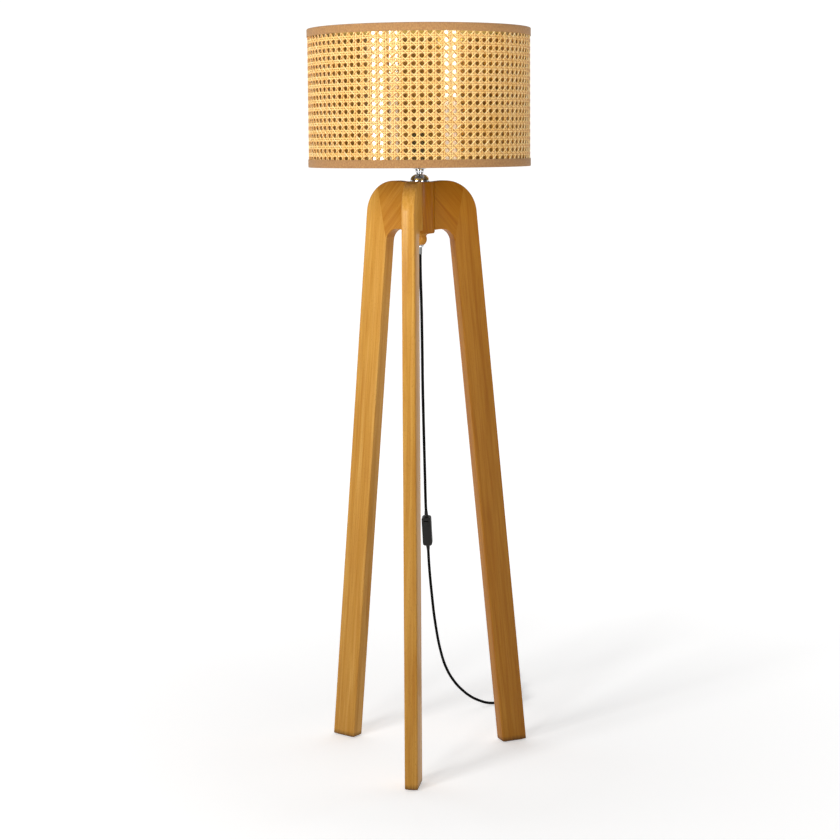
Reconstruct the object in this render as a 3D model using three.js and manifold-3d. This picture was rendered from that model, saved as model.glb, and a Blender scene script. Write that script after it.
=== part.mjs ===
// Rattan floor lamp: a cane drum shade on a chromed neck, over a tripod of bent boards and a turned hub.
// Millimetres, +Z up. The origin is on the floor under the lamp's axis, and the front leg points to -Y.
import * as THREE from "three";
import { mergeVertices } from "three/addons/utils/BufferGeometryUtils.js";
import Module from "manifold-3d";

const wasm = await Module();
wasm.setup();

// Clearances and facets
const seatGap = 0.3;
const overrun = 4;
const roundSides = 24;
const hubSides = 36;
const smallSides = 12;
const shadeSides = 60;

// Legs: each is one board, a leaning leg and an arm square to it
const legCount = 3;
const footReach = 233.7;
const shoulderReach = 117.2;
const shoulderHeight = 1203;
const legWidth = 55.6;
const legThickness = 28.6;
const armDepth = 97.4;
const shoulderRadius = 70;
const archRadius = 28;
const edgeRound = 2.5;
const padThickness = 1.5;
const padInset = 5;
const padCornerRadius = 4;

// The boards stand a little askew, as in the photograph. The front one is thinner, swung round the hub
// in degrees, set to the side of the hub's middle and with its foot drawn back the other way. At the
// hub's top the right one is drawn in and the left one out.
const frontThickness = 26.4;
const frontSwing = -3;
const frontSideAtHub = -4.1;
const frontSideAtFloor = 13.4;
const rightOutAtHub = -2.7;
const leftOutAtHub = 3.1;

// Hub and finial
const hubRadius = 30;
const hubBoreRadius = 18;
const hubTopDrop = 0.055;
const hubHeight = 102.8;
const hubRoofThickness = 12;
const hubEdge = 1.2;
const finialSpigotDepth = 9;
const finialLip = 1.2;
const finialCoveHeight = 3.4;
const finialCoveRadius = 15.2;
const finialNeckRadius = 12.8;
const ballRadius = 14;
const ballDrop = 13.2;
const ballFlatRadius = 8.4;

// Leg screws, from inside the hub into the arms
const screwRadius = 3.1;
const screwLength = 34;
const screwHeadRadius = 5;
const screwHeadHeight = 3;
const screwInset = 27;
const spotFaceDepth = 1;

// Threaded tube, its washer and nut, and the lead's sleeve
const tubeRadius = 5;
const tubeBoreRadius = 4.2;
const washerRadius = 8;
const washerThickness = 1.2;
const nutFlats = 14;
const nutHeight = 3;
const tubeStandOut = 0.5;
const gripLength = 20;
const gripInside = 6;
const gripTopRadius = 3.9;
const gripTipRadius = 3.65;
const gripBoreRadius = 3.3;

// Neck, from the hub up
const bellRadius = 19.5;
const bellHeight = 15.5;
const bellWall = 1.2;
const bellPower = 2.4;
const spacerRadius = 7.5;
const spacerHeight = 3;
const collarRadius = 9.15;
const collarHeight = 6.7;
const collarGroove = 0.9;
const neckWasherRadius = 13.75;
const neckWasherThickness = 1.5;

// Lampholder
const capHeight = 20.3;
const capFootRadius = 11.5;
const capRadius = 19;
const capWall = 2.2;
const shellRadius = 19.4;
const shellBoreRadius = 16.6;
const shellHeight = 53.7;
const shellCollarRadius = 22.6;
const shellCollarHeight = 3.2;
const shellThreadPitch = 3;
const shellThreadDepth = 0.5;
const shellThreadCount = 4;
const insulatorRadius = 16.2;
const insulatorHeight = 12;
const insulatorLift = 3.4;
const insulatorWellRadius = 9;
const insulatorWellDepth = 5;
const screwShellBoreRadius = 13.3;
const screwShellWall = 0.6;
const screwShellWave = 0.5;
const screwShellPitch = 3.63;
const screwShellTurns = 5;
const contactWidth = 7;
const contactLength = 14;
const contactRise = 5.2;
const contactThickness = 0.6;

// Shade
const shadeHeight = 275;
const shadeRadius = 225;
const trimWidth = 16;
const trimThickness = 0.7;
const trimCapWidth = 9;
const caneThickness = 2.6;
const linerThickness = 0.9;
const wireRadius = 2;
const fitterRecess = 21.8;
const fitterRadius = 26;
const fitterThickness = 1.6;
const threadGap = 0.5;
const shadeRingRadius = 24.6;
const shadeRingHeight = 8;
const spokeCount = 3;

// Lead and wires
const cordRadius = 3;
const cordSides = 8;
const cordStep = 17;
const wireCoreRadius = 1.1;
const wireSides = 8;
const wireSpread = 8;
const floorClearance = 0.2;

// Switch, in its own frame: +Z up the lead, its face to -Y
const switchCentre = new THREE.Vector3(-1.1, 99, 454);
const switchSlope = new THREE.Vector3(-0.014, -0.265, 0.964);
const switchLength = 66.5;
const switchWidth = 20;
const switchBaseDepth = 7.5;
const switchCoverDepth = 8.2;
const switchCornerRadius = 5;
const switchEdge = 1.2;
const switchWall = 2;
const cavityWidth = 15;
const cavityTop = 26.6;
const cavityBottom = -22;
const rockerHeight = 8.6;
const rockerWidth = 9.6;
const rockerCentre = 20.8;
const rockerProud = 1.6;
const rockerWindowSlack = 0.75;
const rockerPinRadius = 1;
const rockerPinLength = 1.6;
const rockerTail = 1.8;
const rockerTilt = 7;
const switchScrewRadius = 1.3;
const switchScrewHeadRadius = 2.4;
const switchScrewHeadHeight = 1.6;
const switchScrewSide = 6.4;
const switchScrewTop = 29.5;
const reliefLength = 20;
const reliefInside = 7;
const reliefRootRadius = 4.2;
const reliefTipRadius = 3.3;

// Hank of the spare lead: stacked loops, drawn in at a tied waist
const hankPlace = new THREE.Vector2(160, 372);
const hankTurn = 5.8;
const hankFoldRadius = 20;
const hankRun = 90;
const hankWaist = 3.4;
const hankPitch = 6.5;
const hankLayers = 4;
const hankSides = 6;
const foldSteps = 7;
const waistSlack = 2;
const leastGap = 0.4;
const tieThickness = 1.2;
const tieWidth = 8;

// Plug on the far end
const plugLead = 50;
const plugSide = 6;
const plugLength = 36;
const plugWidth = 35.3;
const plugThickness = 13.7;
const plugRearWidth = 18;
const plugEdge = 1.5;
const pinRadius = 2;
const pinLength = 19;
const pinSpacing = 18.6;
const plugReliefLength = 24;
const plugReliefRootRadius = 5;

// Finishes
const finish = (color, roughness, metalness = 0) =>
  new THREE.MeshStandardMaterial({ color, roughness, metalness });
const beech = finish(0xc98a3e, 0.45);
const chrome = finish(0xd8dadc, 0.12, 1);
const steel = finish(0xb4b6b8, 0.35, 1);
const brass = finish(0xc9a24a, 0.3, 1);
const blackPlastic = finish(0x161514, 0.4);
const greyPlastic = finish(0x8f9291, 0.5);
const blackRubber = finish(0x1b1a19, 0.7);
const cane = finish(0xe2bc7a, 0.55);
const film = finish(0x9a6a2e, 0.3);
const linen = finish(0xb08658, 0.8);
const ceramic = finish(0xe8e4dc, 0.4);
const brownWire = finish(0x5a3420, 0.5);
const blueWire = finish(0x2f5f9e, 0.5);

// Geometry helpers

const degrees = THREE.MathUtils.degToRad;

// A closed mesh with shared corners and its faces pointing out
function closedMesh(geometry) {
  geometry.deleteAttribute("normal");
  geometry.deleteAttribute("uv");
  const merged = mergeVertices(geometry);
  const spot = merged.attributes.position;
  const corner = [0, 1, 2].map(() => new THREE.Vector3());
  const indices = Array.from(merged.index.array);
  const kept = [];
  let volume = 0;
  for (let i = 0; i < indices.length; i += 3) {
    const [a, b, c] = indices.slice(i, i + 3);
    if (a === b || b === c || c === a) continue;
    kept.push(a, b, c);
    [a, b, c].forEach((index, k) => corner[k].fromBufferAttribute(spot, index));
    volume += corner[0].dot(corner[1].clone().cross(corner[2]));
  }
  if (volume < 0) {
    for (let i = 0; i < kept.length; i += 3) [kept[i], kept[i + 1]] = [kept[i + 1], kept[i]];
  }
  merged.setIndex(kept);
  return merged;
}

function toSolid(geometry) {
  const mesh = closedMesh(geometry);
  return new wasm.Manifold(
    new wasm.Mesh({
      numProp: 3,
      vertProperties: new Float32Array(mesh.attributes.position.array),
      triVerts: new Uint32Array(mesh.index.array),
    }),
  );
}

function fromSolid(solid) {
  const mesh = solid.getMesh();
  const geometry = new THREE.BufferGeometry();
  geometry.setAttribute("position", new THREE.BufferAttribute(mesh.vertProperties, 3));
  geometry.setIndex(Array.from(mesh.triVerts));
  return geometry;
}

function cut(geometry, tools) {
  const solid = tools.reduce((rest, tool) => rest.subtract(toSolid(tool)), toSolid(geometry));
  return fromSolid(solid);
}

function join(geometries) {
  const solids = geometries.map(toSolid);
  return fromSolid(solids.reduce((all, one) => all.add(one)));
}

// A turned shape about Z from [radius, height] points, which run round the section once
function turned(profile, sides = roundSides) {
  const points = profile.map(([radius, height]) => new THREE.Vector2(radius, height));
  points.push(points[0].clone());
  return closedMesh(new THREE.LatheGeometry(points, sides).rotateX(Math.PI / 2));
}

// A solid of revolution whose profile starts and ends on the axis
function turnedSolid(profile, sides = roundSides) {
  const points = profile.map(([radius, height]) => new THREE.Vector2(radius, height));
  return closedMesh(new THREE.LatheGeometry(points, sides).rotateX(Math.PI / 2));
}

function ringProfile(inner, outer, bottom, top) {
  return [[inner, bottom], [outer, bottom], [outer, top], [inner, top]];
}

// A rod along Z from bottom to top
function rod(radius, bottom, top, sides = smallSides) {
  return new THREE.CylinderGeometry(radius, radius, top - bottom, sides)
    .rotateX(Math.PI / 2)
    .translate(0, 0, (top + bottom) / 2);
}

// A rod along +X from start to end, at a height
function crossRod(radius, start, end, height, sides = smallSides) {
  return new THREE.CylinderGeometry(radius, radius, end - start, sides)
    .rotateZ(Math.PI / 2)
    .translate((start + end) / 2, 0, height);
}

function roundedRectangle(width, height, radius) {
  const [x, y] = [width / 2, height / 2];
  const shape = new THREE.Shape();
  shape.moveTo(-x + radius, -y);
  shape.lineTo(x - radius, -y);
  shape.absarc(x - radius, -y + radius, radius, -Math.PI / 2, 0);
  shape.lineTo(x, y - radius);
  shape.absarc(x - radius, y - radius, radius, 0, Math.PI / 2);
  shape.lineTo(-x + radius, y);
  shape.absarc(-x + radius, y - radius, radius, Math.PI / 2, Math.PI);
  shape.lineTo(-x, -y + radius);
  shape.absarc(-x + radius, -y + radius, radius, Math.PI, 1.5 * Math.PI);
  return shape;
}

function box(width, depth, height, x, y, z) {
  return new THREE.BoxGeometry(width, depth, height).translate(x, y, z);
}

const lamp = new THREE.Group();
const allNodes = [];

function add(name, geometry, material, parent = lamp) {
  const mesh = new THREE.Mesh(closedMesh(geometry), material.clone());
  mesh.name = name;
  parent.add(mesh);
  allNodes.push(mesh);
  return mesh;
}

// Levels up the lamp's axis. The hub's top lies just below the arms' tops, where they meet it.

const lean = Math.atan2(footReach - shoulderReach, shoulderHeight);
const hubTopHeight = shoulderHeight - (shoulderReach - hubRadius) * Math.tan(lean) - hubTopDrop;
const hubBottom = hubTopHeight - hubHeight;
const bellBottom = hubTopHeight + seatGap;
const bellTop = bellBottom + bellHeight;
const spacerBottom = bellTop + seatGap;
const spacerTop = spacerBottom + spacerHeight;
const collarBottom = spacerTop + seatGap;
const collarTop = collarBottom + collarHeight;
const neckWasherBottom = collarTop + seatGap;
const neckWasherTop = neckWasherBottom + neckWasherThickness;
const capBottom = neckWasherTop + seatGap;
const capTop = capBottom + capHeight;
const shellBottom = capTop + seatGap;
const shellTop = shellBottom + shellHeight;
const fitterBottom = shellBottom + shellCollarHeight + seatGap;
const fitterTop = fitterBottom + fitterThickness;
const shadeBottom = fitterBottom - fitterRecess;
const shadeTop = shadeBottom + shadeHeight;
const tubeTop = capBottom + capWall + overrun;

// Legs

const legNames = ["front", "right", "left"];
const boardThicknesses = [frontThickness, legThickness, legThickness];
const boardSwings = [frontSwing, 0, 0];
const sidesAtHub = [frontSideAtHub, 0, 0];
const sidesAtFloor = [frontSideAtFloor, 0, 0];
const outAtHub = [0, rightOutAtHub, leftOutAtHub];
const legAzimuth = (index) => -Math.PI / 2 + (index * 2 * Math.PI) / legCount + degrees(boardSwings[index]);
const downLeg = new THREE.Vector2(Math.sin(lean), -Math.cos(lean));
const alongArm = new THREE.Vector2(-Math.cos(lean), -Math.sin(lean));
const footHeight = padThickness + seatGap;
const screwHeights = [hubBottom + screwInset, hubTopHeight - screwInset];

function legOutline() {
  const shoulder = new THREE.Vector2(shoulderReach, shoulderHeight);
  const from = (point, down, along) =>
    point.clone().addScaledVector(downLeg, down).addScaledVector(alongArm, along);
  const legSpan = legWidth * Math.cos(lean);
  const arch = from(shoulder, armDepth, legSpan);
  const shoulderCentre = from(shoulder, shoulderRadius, shoulderRadius);
  const archCentre = from(arch, archRadius, archRadius);
  const armLength = (shoulderReach - hubRadius + 2 * overrun) / Math.cos(lean) + armDepth * Math.tan(lean);
  const armEndTop = from(shoulder, 0, armLength);
  const armEndBottom = from(shoulder, armDepth, armLength);
  const atFoot = (point) => {
    const drop = (point.y - footHeight) / Math.cos(lean);
    return point.clone().addScaledVector(downLeg, drop);
  };
  const outerFoot = atFoot(shoulder);
  const innerFoot = atFoot(arch);
  const turn = -lean;
  const shape = new THREE.Shape();
  shape.moveTo(innerFoot.x, innerFoot.y);
  shape.lineTo(outerFoot.x, outerFoot.y);
  shape.absarc(shoulderCentre.x, shoulderCentre.y, shoulderRadius, -turn, Math.PI / 2 - turn);
  shape.lineTo(armEndTop.x, armEndTop.y);
  shape.lineTo(armEndBottom.x, armEndBottom.y);
  shape.absarc(archCentre.x, archCentre.y, archRadius, Math.PI / 2 - turn, -turn, true);
  shape.closePath();
  return shape;
}

// Moves a board sideways and outwards, evenly from the floor to the hub's top
function askew(index) {
  const sideSlope = (sidesAtHub[index] - sidesAtFloor[index]) / hubTopHeight;
  const outSlope = outAtHub[index] / hubTopHeight;
  return new THREE.Matrix4().makeShear(0, 0, 0, 0, outSlope, sideSlope).setPosition(0, sidesAtFloor[index], 0);
}

function legBoard(index) {
  const flat = boardThicknesses[index] - 2 * edgeRound;
  const board = new THREE.ExtrudeGeometry(legOutline(), {
    depth: flat,
    curveSegments: 8,
    bevelThickness: edgeRound,
    bevelSize: edgeRound,
    bevelOffset: -edgeRound,
    bevelSegments: 2,
  });
  board.translate(0, 0, -flat / 2).rotateX(Math.PI / 2).applyMatrix4(askew(index));
  const hubSeat = rod(hubRadius + seatGap, hubBottom - overrun, shoulderHeight + overrun, hubSides);
  const screwHoles = screwHeights.map((height) =>
    crossRod(screwRadius + seatGap, hubRadius - overrun, hubBoreRadius + screwLength + overrun, height));
  return cut(board, [hubSeat, ...screwHoles]);
}

function footPad(index) {
  const middle = footReach - legWidth / 2;
  const outline = roundedRectangle(legWidth - 2 * padInset, boardThicknesses[index] - 2 * padInset, padCornerRadius);
  return new THREE.ExtrudeGeometry(outline, { depth: padThickness, bevelEnabled: false, curveSegments: 4 })
    .translate(middle, sidesAtFloor[index], 0);
}

function legScrew(height) {
  const seat = hubBoreRadius + spotFaceDepth - seatGap;
  const profile = [
    [0, seat - screwHeadHeight],
    [screwHeadRadius, seat - screwHeadHeight],
    [screwHeadRadius, seat],
    [screwRadius, seat],
    [screwRadius, seat + screwLength - screwRadius],
    [0, seat + screwLength],
  ];
  return turnedSolid(profile, smallSides).rotateY(Math.PI / 2).translate(0, 0, height);
}

for (let index = 0; index < legCount; index += 1) {
  const name = legNames[index];
  const leg = new THREE.Group();
  leg.rotation.z = legAzimuth(index);
  lamp.add(leg);
  add(`leg_${name}`, legBoard(index), beech, leg);
  add(`foot_pad_${name}`, footPad(index), blackRubber, leg);
  add(`leg_screw_lower_${name}`, legScrew(screwHeights[0]), steel, leg);
  add(`leg_screw_upper_${name}`, legScrew(screwHeights[1]), steel, leg);
}

// Hub and finial

function hub() {
  const roof = hubTopHeight - hubRoofThickness;
  const body = turned([
    [hubBoreRadius, hubBottom],
    [hubRadius - hubEdge, hubBottom],
    [hubRadius, hubBottom + hubEdge],
    [hubRadius, hubTopHeight - hubEdge],
    [hubRadius - hubEdge, hubTopHeight],
    [tubeRadius + seatGap, hubTopHeight],
    [tubeRadius + seatGap, roof],
    [hubBoreRadius, roof],
  ], hubSides);
  const holes = [];
  for (let index = 0; index < legCount; index += 1) {
    for (const height of screwHeights) {
      const spotFace = hubBoreRadius + spotFaceDepth;
      const through = crossRod(screwRadius + seatGap, hubBoreRadius - overrun, hubRadius + overrun, height);
      const seat = crossRod(screwHeadRadius + seatGap, hubBoreRadius - overrun, spotFace, height);
      holes.push(through.rotateZ(legAzimuth(index)), seat.rotateZ(legAzimuth(index)));
    }
  }
  return cut(body, holes);
}

const finialTop = hubBottom - seatGap;
const ballCentre = finialTop - ballDrop;
const ballFlat = ballCentre - Math.sqrt(ballRadius ** 2 - ballFlatRadius ** 2);

function finial() {
  const neckAngle = Math.acos(finialNeckRadius / ballRadius);
  const flatAngle = -Math.acos(ballFlatRadius / ballRadius);
  const bore = tubeRadius + seatGap;
  const profile = [
    [bore, ballFlat],
    [bore, finialTop + finialSpigotDepth],
    [hubBoreRadius - seatGap, finialTop + finialSpigotDepth],
    [hubBoreRadius - seatGap, finialTop],
    [hubRadius - hubEdge, finialTop],
    [hubRadius - hubEdge, finialTop - finialLip],
    [finialCoveRadius, finialTop - finialCoveHeight],
  ];
  const ballSteps = 8;
  for (let step = 0; step <= ballSteps; step += 1) {
    const angle = neckAngle + ((flatAngle - neckAngle) * step) / ballSteps;
    profile.push([ballRadius * Math.cos(angle), ballCentre + ballRadius * Math.sin(angle)]);
  }
  return turned(profile, hubSides);
}

add("hub", hub(), beech);
add("finial", finial(), beech);

// Threaded tube, washer, nut and the lead's sleeve

const washerTop = ballFlat - seatGap;
const nutTop = washerTop - washerThickness - seatGap;
const nutBottom = nutTop - nutHeight;
const tubeBottom = nutBottom - tubeStandOut;
const gripTop = tubeBottom + gripInside;
const gripBottom = gripTop - gripLength;
const cordStart = gripBottom - seatGap;

function hexNut(flats, bore, bottom, height) {
  const outside = new THREE.CylinderGeometry(1, 1, height, 6)
    .rotateX(Math.PI / 2)
    .scale(flats / Math.sqrt(3), flats / Math.sqrt(3), 1)
    .translate(0, 0, bottom + height / 2);
  return cut(outside, [rod(bore, bottom - overrun, bottom + height + overrun, roundSides)]);
}

function cordGrip() {
  return turned([
    [gripBoreRadius, gripBottom],
    [gripTipRadius, gripBottom],
    [gripTopRadius, tubeBottom],
    [gripTopRadius, gripTop],
    [gripBoreRadius, gripTop],
  ]);
}

add("threaded_tube", turned(ringProfile(tubeBoreRadius, tubeRadius, tubeBottom, tubeTop)), steel);
add("bottom_washer",
  turned(ringProfile(tubeRadius + seatGap, washerRadius, washerTop - washerThickness, washerTop)), chrome);
add("bottom_nut", hexNut(nutFlats, tubeRadius + seatGap, nutBottom, nutHeight), chrome);
add("cord_grip", cordGrip(), greyPlastic);

// Neck

function bellCup() {
  const bore = tubeRadius + seatGap;
  const steps = 6;
  const dome = (radius, height, share) => {
    const rise = height * share;
    return [radius * (1 - share ** bellPower) ** (1 / bellPower), bellBottom + rise];
  };
  const outer = [];
  const inner = [];
  const topShare = 0.975;
  for (let step = 0; step <= steps; step += 1) {
    const share = topShare * Math.sin((step / steps) * (Math.PI / 2));
    outer.push(dome(bellRadius, bellHeight, share));
    inner.unshift(dome(bellRadius - bellWall, bellHeight - bellWall, share));
  }
  return turned([...outer, [bore, bellTop], [bore, bellTop - bellWall], ...inner]);
}

function collarNut() {
  const bore = tubeRadius + seatGap;
  const groove = collarBottom + collarHeight / 2;
  return turned([
    [bore, collarBottom],
    [collarRadius - collarGroove, collarBottom],
    [collarRadius, collarBottom + collarGroove],
    [collarRadius, groove - collarGroove],
    [collarRadius - collarGroove, groove],
    [collarRadius, groove + collarGroove],
    [collarRadius, collarTop - collarGroove],
    [collarRadius - collarGroove, collarTop],
    [bore, collarTop],
  ]);
}

const tubeSeat = tubeRadius + seatGap;
add("bell_cup", bellCup(), chrome);
add("neck_spacer", turned(ringProfile(tubeSeat, spacerRadius, spacerBottom, spacerTop)), chrome);
add("collar_nut", collarNut(), chrome);
add("neck_washer", turned(ringProfile(tubeSeat, neckWasherRadius, neckWasherBottom, neckWasherTop)), chrome);

// Lampholder

function lampholderCap() {
  const flare = capBottom + capHeight / 2;
  return turned([
    [tubeSeat, capBottom],
    [capFootRadius, capBottom],
    [capFootRadius + capWall, capBottom + capWall],
    [capRadius, flare],
    [capRadius, capTop],
    [capRadius - capWall, capTop],
    [capRadius - capWall, flare + capWall / 2],
    [capFootRadius, capBottom + 2 * capWall],
    [tubeSeat, capBottom + capWall],
  ]);
}

function lampholderShell() {
  const collarLevel = shellBottom + shellCollarHeight;
  const threadEnd = shellTop - shellThreadPitch;
  const profile = [
    [shellBoreRadius, shellBottom],
    [shellCollarRadius, shellBottom],
    [shellCollarRadius, collarLevel],
    [shellRadius - shellThreadDepth, collarLevel],
  ];
  for (let turn = shellThreadCount; turn > 0; turn -= 1) {
    const crest = threadEnd - turn * shellThreadPitch;
    profile.push([shellRadius - shellThreadDepth, crest - shellThreadPitch / 2]);
    profile.push([shellRadius, crest]);
  }
  profile.push([shellRadius - shellThreadDepth, threadEnd]);
  profile.push([shellRadius - shellThreadDepth, shellTop]);
  profile.push([shellBoreRadius, shellTop]);
  return turned(profile);
}

const insulatorBottom = shellBottom + insulatorLift;
const insulatorTop = insulatorBottom + insulatorHeight;

function lampholderInsulator() {
  const well = insulatorTop - insulatorWellDepth;
  const body = turnedSolid([
    [0, insulatorBottom],
    [insulatorRadius, insulatorBottom],
    [insulatorRadius, insulatorTop],
    [insulatorWellRadius, insulatorTop],
    [insulatorWellRadius, well],
    [0, well],
  ]);
  return body;
}

const screwShellBottom = insulatorTop + seatGap;

function screwShell() {
  const outer = [];
  const inner = [];
  const stepsPerTurn = 2;
  for (let step = 0; step <= screwShellTurns * stepsPerTurn; step += 1) {
    const height = screwShellBottom + (step * screwShellPitch) / stepsPerTurn;
    const wave = screwShellWave * Math.cos((2 * Math.PI * step) / stepsPerTurn);
    outer.push([screwShellBoreRadius + screwShellWall + screwShellWave + wave, height]);
    inner.unshift([screwShellBoreRadius + screwShellWave + wave, height]);
  }
  return turned([...outer, ...inner]);
}

function centreContact() {
  const half = contactLength / 2;
  const shape = new THREE.Shape();
  shape.moveTo(-half, 0);
  shape.lineTo(-half / 2, 0);
  shape.quadraticCurveTo(0, contactRise, half, contactRise);
  shape.lineTo(half, contactRise - contactThickness);
  shape.quadraticCurveTo(0, contactRise - contactThickness, -half / 2 + contactThickness, -contactThickness);
  shape.lineTo(-half, -contactThickness);
  shape.closePath();
  return new THREE.ExtrudeGeometry(shape, { depth: contactWidth, bevelEnabled: false, curveSegments: 6 })
    .translate(0, 0, -contactWidth / 2)
    .rotateX(Math.PI / 2)
    .translate(0, 0, insulatorTop - insulatorWellDepth + contactThickness + seatGap);
}

add("lampholder_cap", lampholderCap(), blackPlastic);
add("lampholder_shell", lampholderShell(), blackPlastic);
add("lampholder_insulator", lampholderInsulator(), ceramic);
add("screw_shell", screwShell(), brass);
add("centre_contact", centreContact(), brass);

// Shade, hung on the lampholder's collar

const caneRadius = shadeRadius - trimThickness - seatGap;
const linerRadius = caneRadius - caneThickness - seatGap;
const wireRingRadius = linerRadius - linerThickness - seatGap - wireRadius;
const caneBottom = shadeBottom + trimThickness + seatGap;
const caneTop = shadeTop - trimThickness - seatGap;
const lowWireHeight = caneBottom + wireRadius;
const highWireHeight = caneTop - wireRadius;

function trimBand(edge, direction) {
  const capInner = edge + direction * trimThickness;
  const far = edge + direction * trimWidth;
  return turned([
    [shadeRadius - trimCapWidth, edge],
    [shadeRadius, edge],
    [shadeRadius, far],
    [shadeRadius - trimThickness, far],
    [shadeRadius - trimThickness, capInner],
    [shadeRadius - trimCapWidth, capInner],
  ], shadeSides);
}

function wireRing(height) {
  const ringSides = 6;
  return new THREE.TorusGeometry(wireRingRadius, wireRadius, ringSides, shadeSides).translate(0, 0, height);
}

function spoke() {
  const start = new THREE.Vector2(fitterRadius + seatGap, (fitterBottom + fitterTop) / 2);
  const ring = new THREE.Vector2(wireRingRadius, lowWireHeight);
  const along = ring.clone().sub(start).normalize();
  const end = ring.clone().addScaledVector(along, -(wireRadius + seatGap));
  const length = end.distanceTo(start);
  const middle = start.clone().add(end).multiplyScalar(1 / 2);
  return new THREE.CylinderGeometry(wireRadius, wireRadius, length, 10)
    .rotateZ(Math.PI / 2)
    .rotateY(-Math.atan2(along.y, along.x))
    .translate(middle.x, 0, middle.y);
}

add("cane_panel", turned(ringProfile(caneRadius - caneThickness, caneRadius, caneBottom, caneTop), shadeSides),
  cane);
add("liner", turned(ringProfile(linerRadius - linerThickness, linerRadius, caneBottom, caneTop), shadeSides),
  film);
add("top_trim", trimBand(shadeTop, -1), linen);
add("bottom_trim", trimBand(shadeBottom, 1), linen);
add("top_wire_ring", wireRing(highWireHeight), steel);
add("bottom_wire_ring", wireRing(lowWireHeight), steel);
add("fitter_ring", turned(ringProfile(shellRadius + threadGap, fitterRadius, fitterBottom, fitterTop)), steel);
const spokeTurn = Math.PI / 2;
for (let index = 0; index < spokeCount; index += 1) {
  const turn = spokeTurn + (index * 2 * Math.PI) / spokeCount;
  add(`spoke_${index + 1}`, spoke().rotateZ(turn), steel);
}
const ringBottom = fitterTop + seatGap;
add("shade_ring",
  turned(ringProfile(shellRadius + threadGap, shadeRingRadius, ringBottom, ringBottom + shadeRingHeight)),
  blackPlastic);

// Lead inside the tube, and its two wires to the lampholder

const cordTop = tubeTop + overrun;
add("internal_cord", rod(cordRadius, gripBottom, cordTop), blackRubber);

function sweptTube(curve, radius, sides, step) {
  const section = new THREE.Shape();
  for (let side = 0; side < sides; side += 1) {
    const angle = (side * 2 * Math.PI) / sides;
    const [x, y] = [radius * Math.cos(angle), radius * Math.sin(angle)];
    if (side === 0) section.moveTo(x, y);
    else section.lineTo(x, y);
  }
  section.closePath();
  const steps = Math.ceil(curve.getLength() / step);
  return new THREE.ExtrudeGeometry(section, { steps, extrudePath: curve });
}

function coreWire(side) {
  const start = cordTop + seatGap;
  const root = cordRadius / 2;
  const climb = insulatorBottom - seatGap - start;
  const curve = new THREE.CatmullRomCurve3([
    new THREE.Vector3(side * root, 0, start),
    new THREE.Vector3(side * root, 0, start + climb / 4),
    new THREE.Vector3(side * wireSpread, 0, start + (3 * climb) / 4),
    new THREE.Vector3(side * wireSpread, 0, start + climb),
  ]);
  return sweptTube(curve, wireCoreRadius, wireSides, 2 * wireCoreRadius);
}

add("live_wire", coreWire(1), brownWire);
add("neutral_wire", coreWire(-1), blueWire);

// Switch on the lead

const switchGroup = new THREE.Group();
const switchUp = switchSlope.clone().normalize();
const switchAcross = new THREE.Vector3(1, 0, 0)
  .addScaledVector(switchUp, -switchUp.x)
  .normalize();
const switchBack = switchUp.clone().cross(switchAcross);
switchGroup.matrix.makeBasis(switchAcross, switchBack, switchUp).setPosition(switchCentre);
switchGroup.matrix.decompose(switchGroup.position, switchGroup.quaternion, switchGroup.scale);
lamp.add(switchGroup);

const reliefHole = reliefRootRadius + seatGap;
const partingGap = seatGap / 2;

// One half of the case, from the parting plane to its outer face at direction * depth
function switchHalf(depth, direction) {
  const outline = roundedRectangle(switchWidth, switchLength, switchCornerRadius);
  const flat = depth - partingGap - switchEdge;
  const half = new THREE.ExtrudeGeometry(outline, {
    depth: flat,
    curveSegments: 5,
    bevelThickness: switchEdge,
    bevelSize: switchEdge,
    bevelOffset: -switchEdge,
    bevelSegments: 2,
  });
  half.rotateX(Math.PI / 2);
  half.translate(0, direction > 0 ? flat + partingGap : -partingGap, 0);
  const keep = box(switchWidth, depth - partingGap, switchLength,
    0, direction * (partingGap + (depth - partingGap) / 2), 0);
  const whole = fromSolid(toSolid(half).intersect(toSolid(keep)));
  const cavityHeight = cavityTop - cavityBottom;
  const cavityDepth = depth - switchWall;
  const cavity = box(cavityWidth, 2 * cavityDepth, cavityHeight, 0, 0, (cavityTop + cavityBottom) / 2);
  const channel = rod(reliefHole, -switchLength / 2 - overrun, switchLength / 2 + overrun);
  return [whole, cavity, channel];
}

const switchScrewSpots = [
  [-switchScrewSide, switchScrewTop],
  [switchScrewSide, -switchScrewTop],
];

// A screw hole or screw along Y, from front to back
function alongY(radius, front, back, [x, z], sides = smallSides) {
  return new THREE.CylinderGeometry(radius, radius, back - front, sides).translate(x, (front + back) / 2, z);
}

const screwHeadBack = switchBaseDepth - switchEdge;
const switchScrewTip = -(switchCoverDepth - switchWall);

function switchBase() {
  const [whole, cavity, channel] = switchHalf(switchBaseDepth, 1);
  const holes = switchScrewSpots.flatMap((spot) => [
    alongY(switchScrewRadius + seatGap, -overrun, switchBaseDepth + overrun, spot),
    alongY(switchScrewHeadRadius + seatGap, screwHeadBack - switchScrewHeadHeight - seatGap,
      switchBaseDepth + overrun, spot),
  ]);
  return cut(whole, [cavity, channel, ...holes]);
}

function switchCover() {
  const [whole, cavity, channel] = switchHalf(switchCoverDepth, -1);
  const holes = switchScrewSpots.map((spot) =>
    alongY(switchScrewRadius + seatGap, switchScrewTip - seatGap, overrun, spot));
  const window = box(rockerWidth + 2 * seatGap, 2 * switchCoverDepth, rockerHeight + 2 * rockerWindowSlack,
    0, -switchCoverDepth, rockerCentre);
  return cut(whole, [cavity, channel, window, ...holes]);
}

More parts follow.
